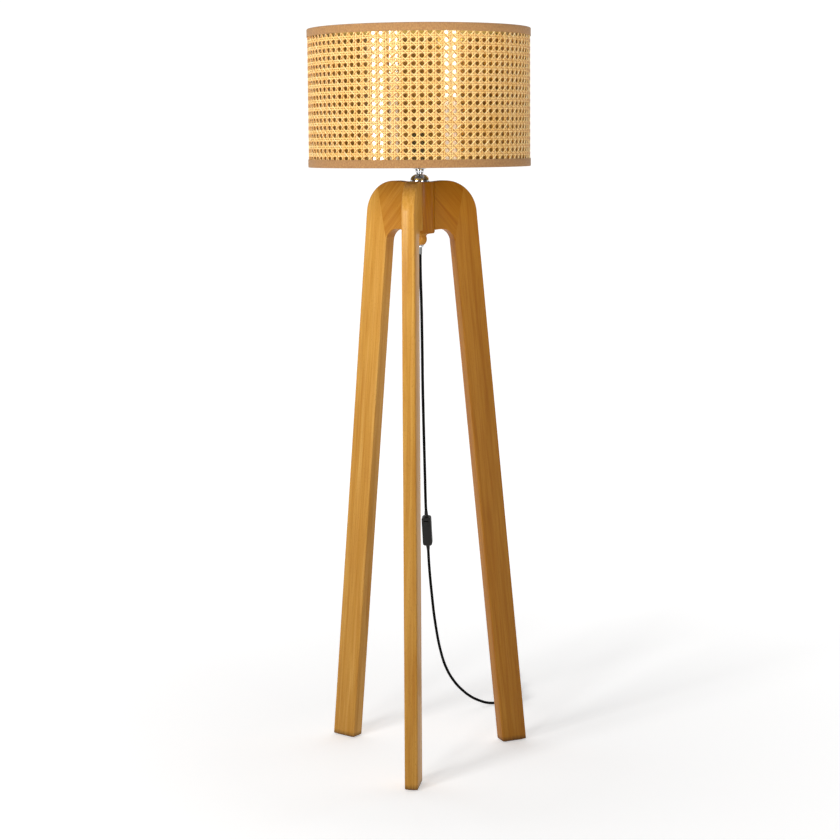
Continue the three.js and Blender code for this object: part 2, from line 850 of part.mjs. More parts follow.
function switchScrew(spot) {
  return join([
    alongY(switchScrewRadius, switchScrewTip, screwHeadBack - switchScrewHeadHeight + seatGap, spot),
    alongY(switchScrewHeadRadius, screwHeadBack - switchScrewHeadHeight, screwHeadBack, spot),
  ]);
}

// Rocker: a block with a dished face, on two stub pins behind the cover's wall
const rockerPivotDepth = switchCoverDepth - switchWall - seatGap - rockerPinRadius;

function switchRocker() {
  const face = rockerPivotDepth - switchCoverDepth - rockerProud;
  const half = rockerHeight / 2;
  const profile = new THREE.Shape();
  profile.moveTo(rockerTail, -half + rockerTail);
  profile.lineTo(rockerTail, half - rockerTail);
  profile.lineTo(0, half);
  profile.lineTo(face, half);
  profile.lineTo(face + rockerProud / 2, 0);
  profile.lineTo(face, -half);
  profile.lineTo(0, -half);
  profile.closePath();
  const block = new THREE.ExtrudeGeometry(profile, { depth: rockerWidth, bevelEnabled: false })
    .translate(0, 0, -rockerWidth / 2)
    .rotateX(Math.PI / 2)
    .rotateZ(Math.PI / 2);
  const pins = crossRod(rockerPinRadius, -rockerWidth / 2 - rockerPinLength, rockerWidth / 2 + rockerPinLength, 0);
  return join([block, pins]).rotateX(degrees(rockerTilt));
}

function switchRelief(direction) {
  const inner = switchLength / 2 - reliefInside;
  const outer = inner + reliefLength;
  const profile = [
    [0, inner],
    [reliefRootRadius, inner],
    [reliefRootRadius, inner + reliefInside],
    [reliefTipRadius, outer],
    [0, outer],
  ].map(([radius, height]) => [radius, direction * height]);
  return turnedSolid(profile, smallSides);
}

add("switch_base", switchBase(), blackPlastic, switchGroup);
add("switch_cover", switchCover(), blackPlastic, switchGroup);
switchScrewSpots.forEach((spot, index) =>
  add(`switch_screw_${index + 1}`, switchScrew(spot), steel, switchGroup));
const rocker = add("switch_rocker", switchRocker(), blackPlastic, switchGroup);
rocker.position.set(0, -rockerPivotDepth, rockerCentre);
add("switch_relief_top", switchRelief(1), blackRubber, switchGroup);
add("switch_relief_bottom", switchRelief(-1), blackRubber, switchGroup);

// Hank: its path runs near fold, right run, far fold and left run, and climbs a layer on each left run.
// Its own frame has +Y along the runs and its origin at the centre of the near fold.

const hankGroup = new THREE.Group();
hankGroup.position.set(hankPlace.x, hankPlace.y, 0);
hankGroup.rotation.z = degrees(hankTurn);
lamp.add(hankGroup);

const cordLevel = cordRadius + floorClearance;
const waistLift = tieThickness + seatGap;
const plugLevel = plugThickness / 2 + floorClearance;

// Half the share of a run that the tie's straight stretch takes
const tieShare = (tieWidth / 2 + waistSlack) / hankRun;

// How far a run is drawn in, at a share of its length
function drawnIn(share) {
  const ramp = 1 / 2 - tieShare;
  const nearest = Math.min(share, 1 - share, ramp);
  return (1 - Math.cos((Math.PI * nearest) / ramp)) / 2;
}

// Each run is stepped at both ends of its straight stretch; finer steps serve the measurement
function runShares(stepsInRamp) {
  const ramp = 1 / 2 - tieShare;
  const shares = [];
  for (let step = 0; step < stepsInRamp; step += 1) shares.push((ramp * step) / stepsInRamp);
  for (let step = 0; step < stepsInRamp; step += 1) shares.push(1 - ramp + (ramp * step) / stepsInRamp);
  shares.splice(stepsInRamp, 0, ramp);
  return shares;
}

function hankPath(stepsInFold, stepsInRamp) {
  const points = [];
  const shares = runShares(stepsInRamp);
  const fold = (centre, from, to, level) => {
    for (let step = 0; step < stepsInFold; step += 1) {
      const angle = from + ((to - from) * step) / stepsInFold;
      const [x, y] = [hankFoldRadius * Math.cos(angle), centre + hankFoldRadius * Math.sin(angle)];
      points.push(new THREE.Vector3(x, y, level));
    }
  };
  const run = (side, from, to, level, climb) => {
    for (const share of shares) {
      const inward = drawnIn(share);
      const x = side * (hankFoldRadius + (hankWaist - hankFoldRadius) * inward);
      const rise = (climb * (1 - Math.cos(Math.PI * share))) / 2;
      points.push(new THREE.Vector3(x, from + (to - from) * share, level + rise + waistLift * inward));
    }
  };
  points.push(new THREE.Vector3(-2 * cordRadius, -hankFoldRadius, cordLevel));
  for (let layer = 0; layer < hankLayers; layer += 1) {
    const level = cordLevel + layer * hankPitch;
    fold(0, layer === 0 ? -Math.PI / 2 : -Math.PI, 0, level);
    run(1, 0, hankRun, level, 0);
    if (layer < hankLayers - 1) {
      fold(hankRun, 0, Math.PI, level);
      run(-1, hankRun, 0, level, hankPitch);
    }
  }
  const top = cordLevel + (hankLayers - 1) * hankPitch;
  points.push(new THREE.Vector3(hankFoldRadius, hankRun, top));
  points.push(new THREE.Vector3(hankFoldRadius, hankRun + 2 * cordRadius, top));
  return points;
}

// A tube of rings square to a list of points
function ringTube(points, radius, sides) {
  const rings = [];
  const up = new THREE.Vector3(0, 0, 1);
  points.forEach((point, index) => {
    const before = points[Math.max(index - 1, 0)];
    const after = points[Math.min(index + 1, points.length - 1)];
    const along = after.clone().sub(before).normalize();
    const across = along.clone().cross(up).normalize();
    const lift = across.clone().cross(along);
    for (let side = 0; side < sides; side += 1) {
      const angle = Math.PI / 2 + (side * 2 * Math.PI) / sides;
      rings.push(point.clone()
        .addScaledVector(across, radius * Math.cos(angle))
        .addScaledVector(lift, radius * Math.sin(angle)));
    }
  });
  const faces = [];
  for (let ring = 0; ring < points.length - 1; ring += 1) {
    for (let side = 0; side < sides; side += 1) {
      const a = ring * sides + side;
      const b = ring * sides + ((side + 1) % sides);
      faces.push(a, b, a + sides, b, b + sides, a + sides);
    }
  }
  const last = (points.length - 1) * sides;
  for (let side = 1; side < sides - 1; side += 1) {
    faces.push(0, side + 1, side, last, last + side, last + side + 1);
  }
  const geometry = new THREE.BufferGeometry().setFromPoints(rings);
  geometry.setIndex(faces);
  return geometry;
}

// The least clear distance between stretches of one path that are more than a few diameters apart along it
function leastSelfGap(points, radius) {
  const apart = 6 * radius;
  const travelled = [0];
  for (let i = 1; i < points.length; i += 1) {
    travelled.push(travelled[i - 1] + points[i].distanceTo(points[i - 1]));
  }
  let least = Infinity;
  for (let i = 0; i < points.length; i += 1) {
    for (let j = i + 1; j < points.length; j += 1) {
      if (travelled[j] - travelled[i] > apart) {
        least = Math.min(least, points[i].distanceTo(points[j]) - 2 * radius);
      }
    }
  }
  return least;
}

const finePath = hankPath(foldSteps * 8, 24);
const hankGap = leastSelfGap(finePath, cordRadius);
console.log(`hank: least gap to itself ${hankGap.toFixed(2)} mm, asked over ${leastGap} mm`);
add("hank", ringTube(hankPath(foldSteps, 2), cordRadius, hankSides), blackRubber, hankGroup);

function hankTie() {
  const innerWidth = 2 * (hankWaist + cordRadius + seatGap);
  const bottom = floorClearance;
  const top = cordLevel + waistLift + (hankLayers - 1) * hankPitch + cordRadius + seatGap + tieThickness;
  const height = top - bottom;
  const outline = roundedRectangle(innerWidth + 2 * tieThickness, height, 2 * tieThickness);
  const inside = roundedRectangle(innerWidth, height - 2 * tieThickness, tieThickness);
  outline.holes.push(inside);
  return new THREE.ExtrudeGeometry(outline, { depth: tieWidth, bevelEnabled: false, curveSegments: 3 })
    .rotateX(Math.PI / 2)
    .translate(0, (hankRun + tieWidth) / 2, bottom + height / 2);
}

add("hank_tie", hankTie(), blackPlastic, hankGroup);

// Plug, lying flat beyond the hank

const leadStart = hankRun + 2 * cordRadius + seatGap;
const reliefStart = leadStart + plugLead;
const plugRear = reliefStart + seatGap + plugReliefLength + seatGap;
const plugFront = plugRear + plugLength;

function cordToPlug() {
  const high = cordLevel + (hankLayers - 1) * hankPitch;
  const sway = (share) => (1 - Math.cos(Math.PI * share)) / 2;
  const points = [];
  const parts = 8;
  const straight = 2 * cordRadius;
  points.push(new THREE.Vector3(hankFoldRadius, leadStart, high));
  for (let part = 0; part <= parts; part += 1) {
    const share = part / parts;
    const along = leadStart + straight / 2 + (plugLead - straight) * share;
    const x = hankFoldRadius + (plugSide - hankFoldRadius) * sway(share);
    points.push(new THREE.Vector3(x, along, high + (plugLevel - high) * sway(share)));
  }
  points.push(new THREE.Vector3(plugSide, reliefStart, plugLevel));
  return sweptTube(new THREE.CatmullRomCurve3(points), cordRadius, cordSides, cordStep / 3);
}

function plugBody() {
  const half = plugWidth / 2;
  const rear = plugRearWidth / 2;
  const shoulder = plugRear + plugLength / 2;
  const outline = new THREE.Shape();
  outline.moveTo(plugSide - rear, plugRear);
  outline.lineTo(plugSide + rear, plugRear);
  outline.lineTo(plugSide + half, shoulder);
  outline.lineTo(plugSide + half - plugEdge, plugFront);
  outline.lineTo(plugSide - half + plugEdge, plugFront);
  outline.lineTo(plugSide - half, shoulder);
  outline.closePath();
  const flat = plugThickness - 2 * plugEdge;
  return new THREE.ExtrudeGeometry(outline, {
    depth: flat,
    bevelThickness: plugEdge,
    bevelSize: plugEdge,
    bevelOffset: -plugEdge,
    bevelSegments: 2,
  }).translate(0, 0, plugLevel - flat / 2);
}

function plugPin(side) {
  const sides = 12;
  return new THREE.CylinderGeometry(pinRadius, pinRadius, pinLength, sides)
    .translate(plugSide + (side * pinSpacing) / 2, plugFront + seatGap + pinLength / 2, plugLevel);
}

function plugRelief() {
  const profile = [
    [0, 0],
    [reliefTipRadius, 0],
    [plugReliefRootRadius, plugReliefLength],
    [0, plugReliefLength],
  ];
  return turnedSolid(profile, smallSides)
    .rotateX(-Math.PI / 2)
    .translate(plugSide, reliefStart + seatGap, plugLevel);
}

add("cord_to_plug", cordToPlug(), blackRubber, hankGroup);
add("plug_relief", plugRelief(), blackRubber, hankGroup);
add("plug_body", plugBody(), blackPlastic, hankGroup);
add("plug_pin_left", plugPin(-1), brass, hankGroup);
add("plug_pin_right", plugPin(1), brass, hankGroup);

// Free stretches of the lead. Their points are chosen by hand along the way it hangs and lies.

const reliefEnd = switchLength / 2 - reliefInside + reliefLength + seatGap;
const alongSwitch = (distance) => switchCentre.clone().addScaledVector(switchUp, distance);
const lastUp = 10;

hankGroup.updateMatrixWorld(true);
const beforeHank = (distance) => hankGroup.localToWorld(
  new THREE.Vector3(-2 * cordRadius - seatGap - distance, -hankFoldRadius, cordLevel));

const upperRoute = [
  new THREE.Vector3(0, 0, cordStart),
  new THREE.Vector3(0, 0, 1030),
  new THREE.Vector3(0.2, 1.2, 1000),
  new THREE.Vector3(0.9, 6, 950),
  new THREE.Vector3(0.8, 13, 895),
  new THREE.Vector3(0.3, 21, 839),
  new THREE.Vector3(-0.4, 30, 775),
  new THREE.Vector3(-0.7, 41, 710),
  new THREE.Vector3(-1, 53.5, 645),
  new THREE.Vector3(-1.4, 67.5, 580),
  alongSwitch(reliefEnd + lastUp),
  alongSwitch(reliefEnd),
];

const lowerRoute = [
  alongSwitch(-reliefEnd),
  alongSwitch(-reliefEnd - lastUp),
  new THREE.Vector3(-0.1, 122.5, 374),
  new THREE.Vector3(2.6, 145, 306),
  new THREE.Vector3(7, 172.5, 233),
  new THREE.Vector3(15.4, 207, 158.3),
  new THREE.Vector3(25.2, 233.5, 113),
  new THREE.Vector3(39.8, 260.5, 76),
  new THREE.Vector3(55.6, 283, 50),
  new THREE.Vector3(73, 303, 29.5),
  new THREE.Vector3(91, 320, 15.5),
  new THREE.Vector3(109, 334.5, 6.4),
  new THREE.Vector3(124, 344, 3.6),
  new THREE.Vector3(136.5, 348.6, 3.2),
  beforeHank(lastUp),
  beforeHank(0),
];

const throughPoints = (points) => new THREE.CatmullRomCurve3(points, false, "centripetal");
add("cord_to_switch", sweptTube(throughPoints(upperRoute), cordRadius, cordSides, cordStep), blackRubber);
add("cord_to_hank", sweptTube(throughPoints(lowerRoute), cordRadius, cordSides, cordStep), blackRubber);

export default lamp;
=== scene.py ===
# %% [markdown]
# # A rattan floor lamp
# The real lamp is three bent beech boards bolted round a turned hub, with a drum shade of woven cane
# on a chromed neck and a black lead that hangs down to the floor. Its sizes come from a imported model
# that is already right, so every piece here is made where that model says. We open it first, because
# each new piece moves with one of its bodies.

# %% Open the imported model
import math

import bmesh
import bpy
import numpy as np
from mathutils import Matrix, Vector


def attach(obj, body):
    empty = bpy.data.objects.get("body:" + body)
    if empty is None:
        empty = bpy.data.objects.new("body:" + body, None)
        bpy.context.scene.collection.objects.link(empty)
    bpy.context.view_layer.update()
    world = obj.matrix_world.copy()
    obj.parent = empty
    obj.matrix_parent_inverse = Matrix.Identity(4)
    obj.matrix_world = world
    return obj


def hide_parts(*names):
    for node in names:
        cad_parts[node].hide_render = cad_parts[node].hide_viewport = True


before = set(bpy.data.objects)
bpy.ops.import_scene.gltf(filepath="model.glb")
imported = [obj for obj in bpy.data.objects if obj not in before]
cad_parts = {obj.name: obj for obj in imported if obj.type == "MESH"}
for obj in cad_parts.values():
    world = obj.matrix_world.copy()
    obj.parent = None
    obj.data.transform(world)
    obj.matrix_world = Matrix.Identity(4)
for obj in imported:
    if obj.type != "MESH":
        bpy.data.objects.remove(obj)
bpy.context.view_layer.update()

print("packed nodes:", len(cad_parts))

# %% [markdown]
# Sizes are written in millimetres, as on a workshop drawing, and Blender works in metres, so one value
# turns the one into the other. The camera stood about chest high and less than four metres away, and
# saw the lamp a little from the right of its front leg. It is tipped down far enough to take in the
# feet, and its view is shifted down by the little that is left.

# %% Stand the camera where the photographer stood
MM = 0.001
camera_turn = math.radians(6.6)
camera_tilt = math.radians(6.68)
camera_distance = 3753 * MM
camera_height = 1276.3 * MM
camera_roll = 0.0075

lens = bpy.data.cameras.new("viewpoint")
lens.sensor_width = 36
lens.lens = 79
lens.shift_x = 0.0007
lens.shift_y = -0.075
camera = bpy.data.objects.new("viewpoint", lens)
bpy.context.scene.collection.objects.link(camera)
camera.location = (
    camera_distance * math.sin(camera_turn), -camera_distance * math.cos(camera_turn), camera_height)
camera.rotation_euler = (math.pi / 2 - camera_tilt, camera_roll, camera_turn)
bpy.context.scene.camera = camera
print("camera stands at, m:", [round(side, 3) for side in camera.location])

# %% [markdown]
# The lead leaves the sleeve under the finial, hangs to the switch and goes on to the floor behind the
# right leg, where the spare length is folded into a tied hank. A real lead keeps its length, so its
# route is settled before anything else. Both stretches are single curves with a round bevel, because
# a curve keeps an even thickness through every bend.

# %% Sizes and hanging stretches of the lead
cord_radius = 3
floor_gap = 0.2
switch_centre = Vector((-1.1, 99, 454))
switch_up = Vector((-0.014, -0.265, 0.964)).normalized()
relief_end = 46.55

upper_route = [
    (0, 0, 1048.2), (0, 0, 1030), (0.2, 1.2, 1000), (0.9, 6, 950), (0.8, 13, 895), (0.3, 21, 839),
    (-0.4, 30, 775), (-0.7, 41, 710), (-1, 53.5, 645), (-1.4, 67.5, 580),
    switch_centre + switch_up * (relief_end + 10), switch_centre + switch_up * (relief_end - 2),
]
lower_hanging_route = [
    switch_centre - switch_up * (relief_end - 2), switch_centre - switch_up * (relief_end + 10),
    (-0.1, 122.5, 374), (2.6, 145, 306), (7, 172.5, 233), (15.4, 207, 158.3), (25.2, 233.5, 113),
    (39.8, 260.5, 76), (55.6, 283, 50), (73, 303, 29.5), (91, 320, 15.5), (109, 334.5, 6.4),
    (124, 344, 3.6), (136.5, 348.6, 3.2),
]
print("points chosen by hand:", len(upper_route), len(lower_hanging_route))

# %% [markdown]
# A hank is folded to and fro, so its runs are worked out by a loop: up one side, round a fold and back
# down the other side, a layer higher each time. The strap draws the runs together at the middle.

# %% Route of the hank
hank_place = Vector((160, 372, 0))
hank_turn = math.radians(5.8)
fold_radius = 20
hank_run = 90
hank_waist = 3.4
hank_pitch = 6.5
hank_layers = 4
waist_lift = 1.5
tie_share = 6 / hank_run
plug_lead = 50
plug_gap = 6.3
plug_side = 6
plug_thickness = 13.7
plug_level = plug_thickness / 2 + floor_gap
cord_level = cord_radius + floor_gap


def from_hank(x, y, z):
    """A point of the hank's own frame, in mm: +Y along its runs, the near fold's centre at zero"""
    return hank_place + Matrix.Rotation(hank_turn, 3, "Z") @ Vector((x, y, z))


def ease(share):
    return (1 - math.cos(math.pi * share)) / 2


def drawn_in(share):
    ramp = 0.5 - tie_share
    return ease(min(share, 1 - share, ramp) / ramp)


def hank_route():
    fold_steps, run_steps = 7, 10
    points = []
    for layer in range(hank_layers):
        level = cord_level + layer * hank_pitch
        first = -90 if layer == 0 else -180
        folds = fold_steps if layer else 4
        for step in range(folds):
            turn = math.radians(first - first * step / folds)
            points.append((fold_radius * math.cos(turn), fold_radius * math.sin(turn), level))
        for step in range(run_steps):
            share = step / run_steps
            side = fold_radius + (hank_waist - fold_radius) * drawn_in(share)
            points.append((side, hank_run * share, level + waist_lift * drawn_in(share)))
        if layer == hank_layers - 1:
            break
        for step in range(fold_steps):
            turn = math.radians(180 * step / fold_steps)
            points.append((fold_radius * math.cos(turn), hank_run + fold_radius * math.sin(turn), level))
        for step in range(run_steps):
            share = step / run_steps
            side = fold_radius + (hank_waist - fold_radius) * drawn_in(share)
            climb = hank_pitch * ease(share)
            points.append((-side, hank_run * (1 - share), level + climb + waist_lift * drawn_in(share)))
    return points


def plug_route():
    high = cord_level + (hank_layers - 1) * hank_pitch
    points = [(fold_radius, hank_run, high), (fold_radius, hank_run + 6, high)]
    for part in range(9):
        share = part / 8
        along = hank_run + 9.3 + (plug_lead - 6) * share
        side = fold_radius + (plug_side - fold_radius) * ease(share)
        points.append((side, along, high + (plug_level - high) * ease(share)))
    points.append((plug_side, hank_run + plug_gap + plug_lead + 2, plug_level))
    return points


into_hank = [(-16.3, -fold_radius, cord_level), (-6, -fold_radius, cord_level)]
spare_route = [from_hank(*point) for point in into_hank + hank_route() + plug_route()]
print("points of the spare lead:", len(spare_route))

# %% [markdown]
# Both stretches are drawn as curves whose handles Blender sets by itself, which gives one smooth line.
# The length is measured on a copy without its thickness.

# %% Draw and measure the lead


def lead(name, route):
    """One smooth curve through the points of a route, given in mm"""
    line = bpy.data.curves.new(name, "CURVE")
    line.dimensions = "3D"
    line.bevel_depth = cord_radius * MM
    line.bevel_resolution = 4
    line.resolution_u = 5
    line.use_fill_caps = True
    spline = line.splines.new("BEZIER")
    spline.bezier_points.add(len(route) - 1)
    for knot, point in zip(spline.bezier_points, route):
        knot.co = Vector(point) * MM
        knot.handle_left_type = knot.handle_right_type = "AUTO"
    piece = bpy.data.objects.new(name, line)
    bpy.context.scene.collection.objects.link(piece)
    return piece


def length_of(piece):
    """The length of a curve's centre line, measured on a fine copy without its bevel"""
    bare = piece.copy()
    bare.data = piece.data.copy()
    bare.data.bevel_depth = 0
    bpy.context.scene.collection.objects.link(bare)
    bpy.context.view_layer.update()
    mesh = bare.to_mesh()
    corners = [vertex.co.copy() for vertex in mesh.vertices]
    bare.to_mesh_clear()
    bpy.data.objects.remove(bare)
    return sum((b - a).length for a, b in zip(corners, corners[1:]))


upper_lead = lead("lead_to_switch", upper_route)
lower_lead = lead("lead_to_plug", lower_hanging_route + spare_route)
upper_length = length_of(upper_lead)
lower_length = length_of(lower_lead)
print("lead, m:", round(upper_length, 3), round(lower_length, 3))

# %% [markdown]
# ## Finishes
# A colour is picked on a screen, so it is written as the screen shows it and turned into the linear
# light that the shader counts in. One small function adds a node with its settings and its links.
# Pattern sizes are worked out from the real size of what makes the pattern.

# %% Helpers for finishes
UNDER, OVER, MIXED = 6, 7, 2  # a Mix node's two colours, and the colour that it gives
BLENDED = {"data_type": "RGBA"}
MULTIPLIED = {"data_type": "RGBA", "blend_type": "MULTIPLY"}


def colour(code):
    """A linear colour from its screen value"""
    shares = [int(code[i:i + 2], 16) / 255 for i in (0, 2, 4)]
    linear = [s / 12.92 if s <= 0.04045 else ((s + 0.055) / 1.055) ** 2.4 for s in shares]
    return (*linear, 1)


def per(size):
    """The noise scale that gives a pattern of this size in mm"""
    return 1 / (size * MM)


def node(tree, kind, inputs=None, stops=None, **settings):
    """Adds a node. Its inputs are values or other nodes' outputs, and stops are a ramp's colours."""
    made = tree.nodes.new("ShaderNode" + kind)
    for name, value in settings.items():
        setattr(made, name, value)
    for place, (position, code) in enumerate(stops or []):
        ramp = made.color_ramp.elements
        stop = ramp[place] if place < len(ramp) else ramp.new(position)
        stop.position = position
        stop.color = colour(code) if isinstance(code, str) else (code, code, code, 1)
    for socket, value in (inputs or {}).items():
        if isinstance(value, bpy.types.NodeSocket):
            tree.links.new(value, made.inputs[socket])
        else:
            made.inputs[socket].default_value = value
    return made


def finish(name, **sockets):
    """A new material and its surface shader, with the values that are the same all over it"""
    material = bpy.data.materials.new(name)
    material.use_nodes = True
    surface = material.node_tree.nodes["Principled BSDF"]
    for socket, value in sockets.items():
        surface.inputs[socket.replace("_", " ")].default_value = value
    print("finish:", name)
    return material, material.node_tree, surface


def bumped(tree, surface, height, depth, strength=1.0):
    """Raises the surface by a pattern, to a depth in mm"""
    raised = node(tree, "Bump", {"Height": height, "Distance": depth * MM, "Strength": strength})
    tree.links.new(raised.outputs["Normal"], surface.inputs["Normal"])


# %% [markdown]
# Beech is pale and close-grained. Sawn along the log it shows faint growth rings as long arches, soft
# streaks, and everywhere the short dark flecks of its rays. Here it is stained honey and sealed with
# satin lacquer, which gives a thin clear sheen. The grain follows the attribute "lie", which holds
# where a point lies on its piece of wood: across, through and along. A second attribute says how much
# darker each piece is drawn. Part of that is the honey stain, and part is painted shade on the right
# board, the arms and the hub. The last few millimetres above the floor are drawn dark too, partly as
# scuffing and partly as a painted contact shadow that seats the feet.

# %% Lacquered beech


def lacquered_beech():
    material, tree, surface = finish(
        "honey_lacquered_beech", Roughness=0.42, Specular_IOR_Level=0.02, Coat_Weight=0.22,
        Coat_Roughness=0.2)
    lie = node(tree, "Attribute", attribute_name="lie").outputs["Vector"]
    darkening = node(tree, "Attribute", attribute_name="darkening").outputs["Fac"]
    log_middle, log_stretch = (4 * MM, 34 * MM, 0), (1, 1, 0.06)
    log = node(tree, "Mapping", {"Vector": lie, "Location": log_middle, "Scale": log_stretch})
    rings = node(tree, "TexWave",
                 {"Vector": log.outputs[0], "Scale": 34, "Distortion": 14, "Detail": 3,
                  "Detail Scale": 0.4},
                 wave_type="RINGS", rings_direction="Z")
    streaks = node(tree, "Mapping", {"Vector": lie, "Scale": (per(11), per(11), per(330))})
    fibres = node(tree, "Mapping", {"Vector": lie, "Scale": (per(2), per(2), per(80))})
    rays = node(tree, "Mapping", {"Vector": lie, "Scale": (per(0.9), per(0.9), per(4.5))})
    broad = node(tree, "TexNoise",
                 {"Vector": streaks.outputs[0], "Scale": 1, "Detail": 3, "Distortion": 0.5})
    fine = node(tree, "TexNoise", {"Vector": fibres.outputs[0], "Scale": 1, "Detail": 4})
    flecks = node(tree, "TexNoise", {"Vector": rays.outputs[0], "Scale": 1, "Detail": 1})
    tone = node(tree, "ValToRGB", {"Fac": broad.outputs["Fac"]},
                stops=[(0.3, "C18B38"), (0.7, "D7A858"), (0.5, "CD9B48")])
    # Painted shade: the darkening deepens the honey stain further on the pieces that get less light.
    stained_and_shaded = node(tree, "Mix", {"Factor": darkening, UNDER: tone.outputs[0], OVER: colour("CFAE54")},
                   **MULTIPLIED)
    ring = node(tree, "ValToRGB", {"Fac": rings.outputs["Fac"]},
                stops=[(0.0, "DCC09C"), (0.5, "FFFFFF")])
    ringed = node(tree, "Mix", {"Factor": 0.1, UNDER: stained_and_shaded.outputs[MIXED], OVER: ring.outputs[0]},
                  **MULTIPLIED)
    fibre = node(tree, "ValToRGB", {"Fac": fine.outputs["Fac"]},
                 stops=[(0.35, "D8B890"), (0.6, "FFFFFF")])
    grained = node(tree, "Mix", {"Factor": 0.36, UNDER: ringed.outputs[MIXED], OVER: fibre.outputs[0]},
                   **MULTIPLIED)
    fleck = node(tree, "ValToRGB", {"Fac": flecks.outputs["Fac"]},
                 stops=[(0.62, 0.0), (0.72, 0.4)])
    flecked = node(tree, "Mix",
                   {"Factor": fleck.outputs[0], UNDER: grained.outputs[MIXED], OVER: colour("8A561C")},
                   **BLENDED)
    # Painted contact shadow, partly scuffing: the wood turns dark in a ragged band just above the floor.
    place = node(tree, "TexCoord").outputs["Object"]
    level = node(tree, "SeparateXYZ", {"Vector": place}).outputs["Z"]
    ragged = node(tree, "Math", {0: fine.outputs["Fac"], 1: 9 * MM, 2: level},
                  operation="MULTIPLY_ADD")
    scuff_and_shadow = node(tree, "MapRange", {"Value": ragged.outputs[0], "From Min": 5 * MM,
                                    "From Max": 17 * MM, "To Min": 0.9, "To Max": 0.0})
    scuffed_and_shadowed = node(tree, "Mix",
                   {"Factor": scuff_and_shadow.outputs[0], UNDER: flecked.outputs[MIXED], OVER: colour("4A3018")},
                   **BLENDED)
    tree.links.new(scuffed_and_shadowed.outputs[MIXED], surface.inputs["Base Color"])
    bumped(tree, surface, fine.outputs["Fac"], 0.12, 0.35)
    return material


beech = lacquered_beech()

# %% [markdown]
# Rattan cane is the glossy outer skin of the palm, split into strips about 3 mm wide. It is straw
# yellow, a little different in each strand, with fine fibres along it. Its edges are drawn dull
# orange-brown. This is partly the pith at its split edges and partly painted shade between the strands.
# The attribute "lie" holds the place across a strand from its middle, the place along it, and the
# strand's own number, and a second attribute says how much deeper its colour is.

# %% Split cane


def split_cane():
    material, tree, surface = finish(
        "split_rattan_cane", Roughness=0.5, Specular_IOR_Level=0.2, Coat_Weight=0.12, Coat_Roughness=0.3)
    lie = node(tree, "Attribute", attribute_name="lie").outputs["Vector"]
    strands = node(tree, "Mapping", {"Vector": lie, "Scale": (0, per(90), 7.3)})
    fibres = node(tree, "Mapping", {"Vector": lie, "Scale": (per(0.5), per(14), 3.1)})
    tint = node(tree, "TexNoise", {"Vector": strands.outputs[0], "Scale": 1, "Detail": 2})
    fine = node(tree, "TexNoise", {"Vector": fibres.outputs[0], "Scale": 1, "Detail": 2})
    tone = node(tree, "ValToRGB", {"Fac": tint.outputs["Fac"]},
                stops=[(0.28, "ECC26E"), (0.72, "FFF2BE"), (0.5, "FFE49C")])
    fibre = node(tree, "ValToRGB", {"Fac": fine.outputs["Fac"]},
                 stops=[(0.3, "E2BC88"), (0.6, "FFFFFF")])
    fibred = node(tree, "Mix", {"Factor": 0.5, UNDER: tone.outputs[0], OVER: fibre.outputs[0]},
                  **MULTIPLIED)
    # Pith and painted shade: each strand turns orange-brown towards its edges.
    across = node(tree, "SeparateXYZ", {"Vector": lie}).outputs["X"]
    from_middle = node(tree, "Math", {0: across}, operation="ABSOLUTE")
    edge = node(tree, "MapRange", {"Value": from_middle.outputs[0], "From Min": 0.7 * MM,
                                   "From Max": 1.3 * MM, "To Max": 0.9})
    darkening = node(tree, "Attribute", attribute_name="darkening").outputs["Fac"]
    deeper = node(tree, "Mix", {"Factor": darkening, UNDER: fibred.outputs[MIXED], OVER: colour("D09A48")},
                  **BLENDED)
    pith_and_shade = node(tree, "Mix",
                 {"Factor": edge.outputs[0], UNDER: deeper.outputs[MIXED], OVER: colour("AA661C")},
                 **BLENDED)
    tree.links.new(pith_and_shade.outputs[MIXED], surface.inputs["Base Color"])
    bumped(tree, surface, fine.outputs["Fac"], 0.08, 0.5)
    return material


cane = split_cane()

# %% [markdown]
# Behind the cane is a stiff amber film. Light passes through it softened and browned, which is the
# rough transmission, and its clear glossy face is a coat, in which studio lights mirror as white
# strips between the strands.

# %% Amber film


def amber_film():
    material, tree, surface = finish(
        "amber_shade_film", Roughness=0.12, IOR=1.45, Transmission_Weight=0.96, Coat_Weight=1.0,
        Coat_Roughness=0.05, Coat_IOR=1.6)
    place = node(tree, "TexCoord").outputs["Object"]
    cloud = node(tree, "TexNoise", {"Vector": place, "Scale": per(45), "Detail": 3})
    tone = node(tree, "ValToRGB", {"Fac": cloud.outputs["Fac"]},
                stops=[(0.35, "D2AC54"), (0.65, "E2BE6A")])
    tree.links.new(tone.outputs[0], surface.inputs["Base Color"])
    ripple = node(tree, "TexNoise", {"Vector": place, "Scale": per(30), "Detail": 1})
    bumped(tree, surface, ripple.outputs["Fac"], 0.25, 0.3)
    return material


film = amber_film()

# %% [markdown]
# The shade's edges are bound with a linen tape. Its threads are about 0.6 mm apart, which is too fine
# for this picture, so they are drawn 1.5 mm apart: a real tape still reads as woven, with slubs, and
# a darker line where it folds over the rim.

# %% Linen tape


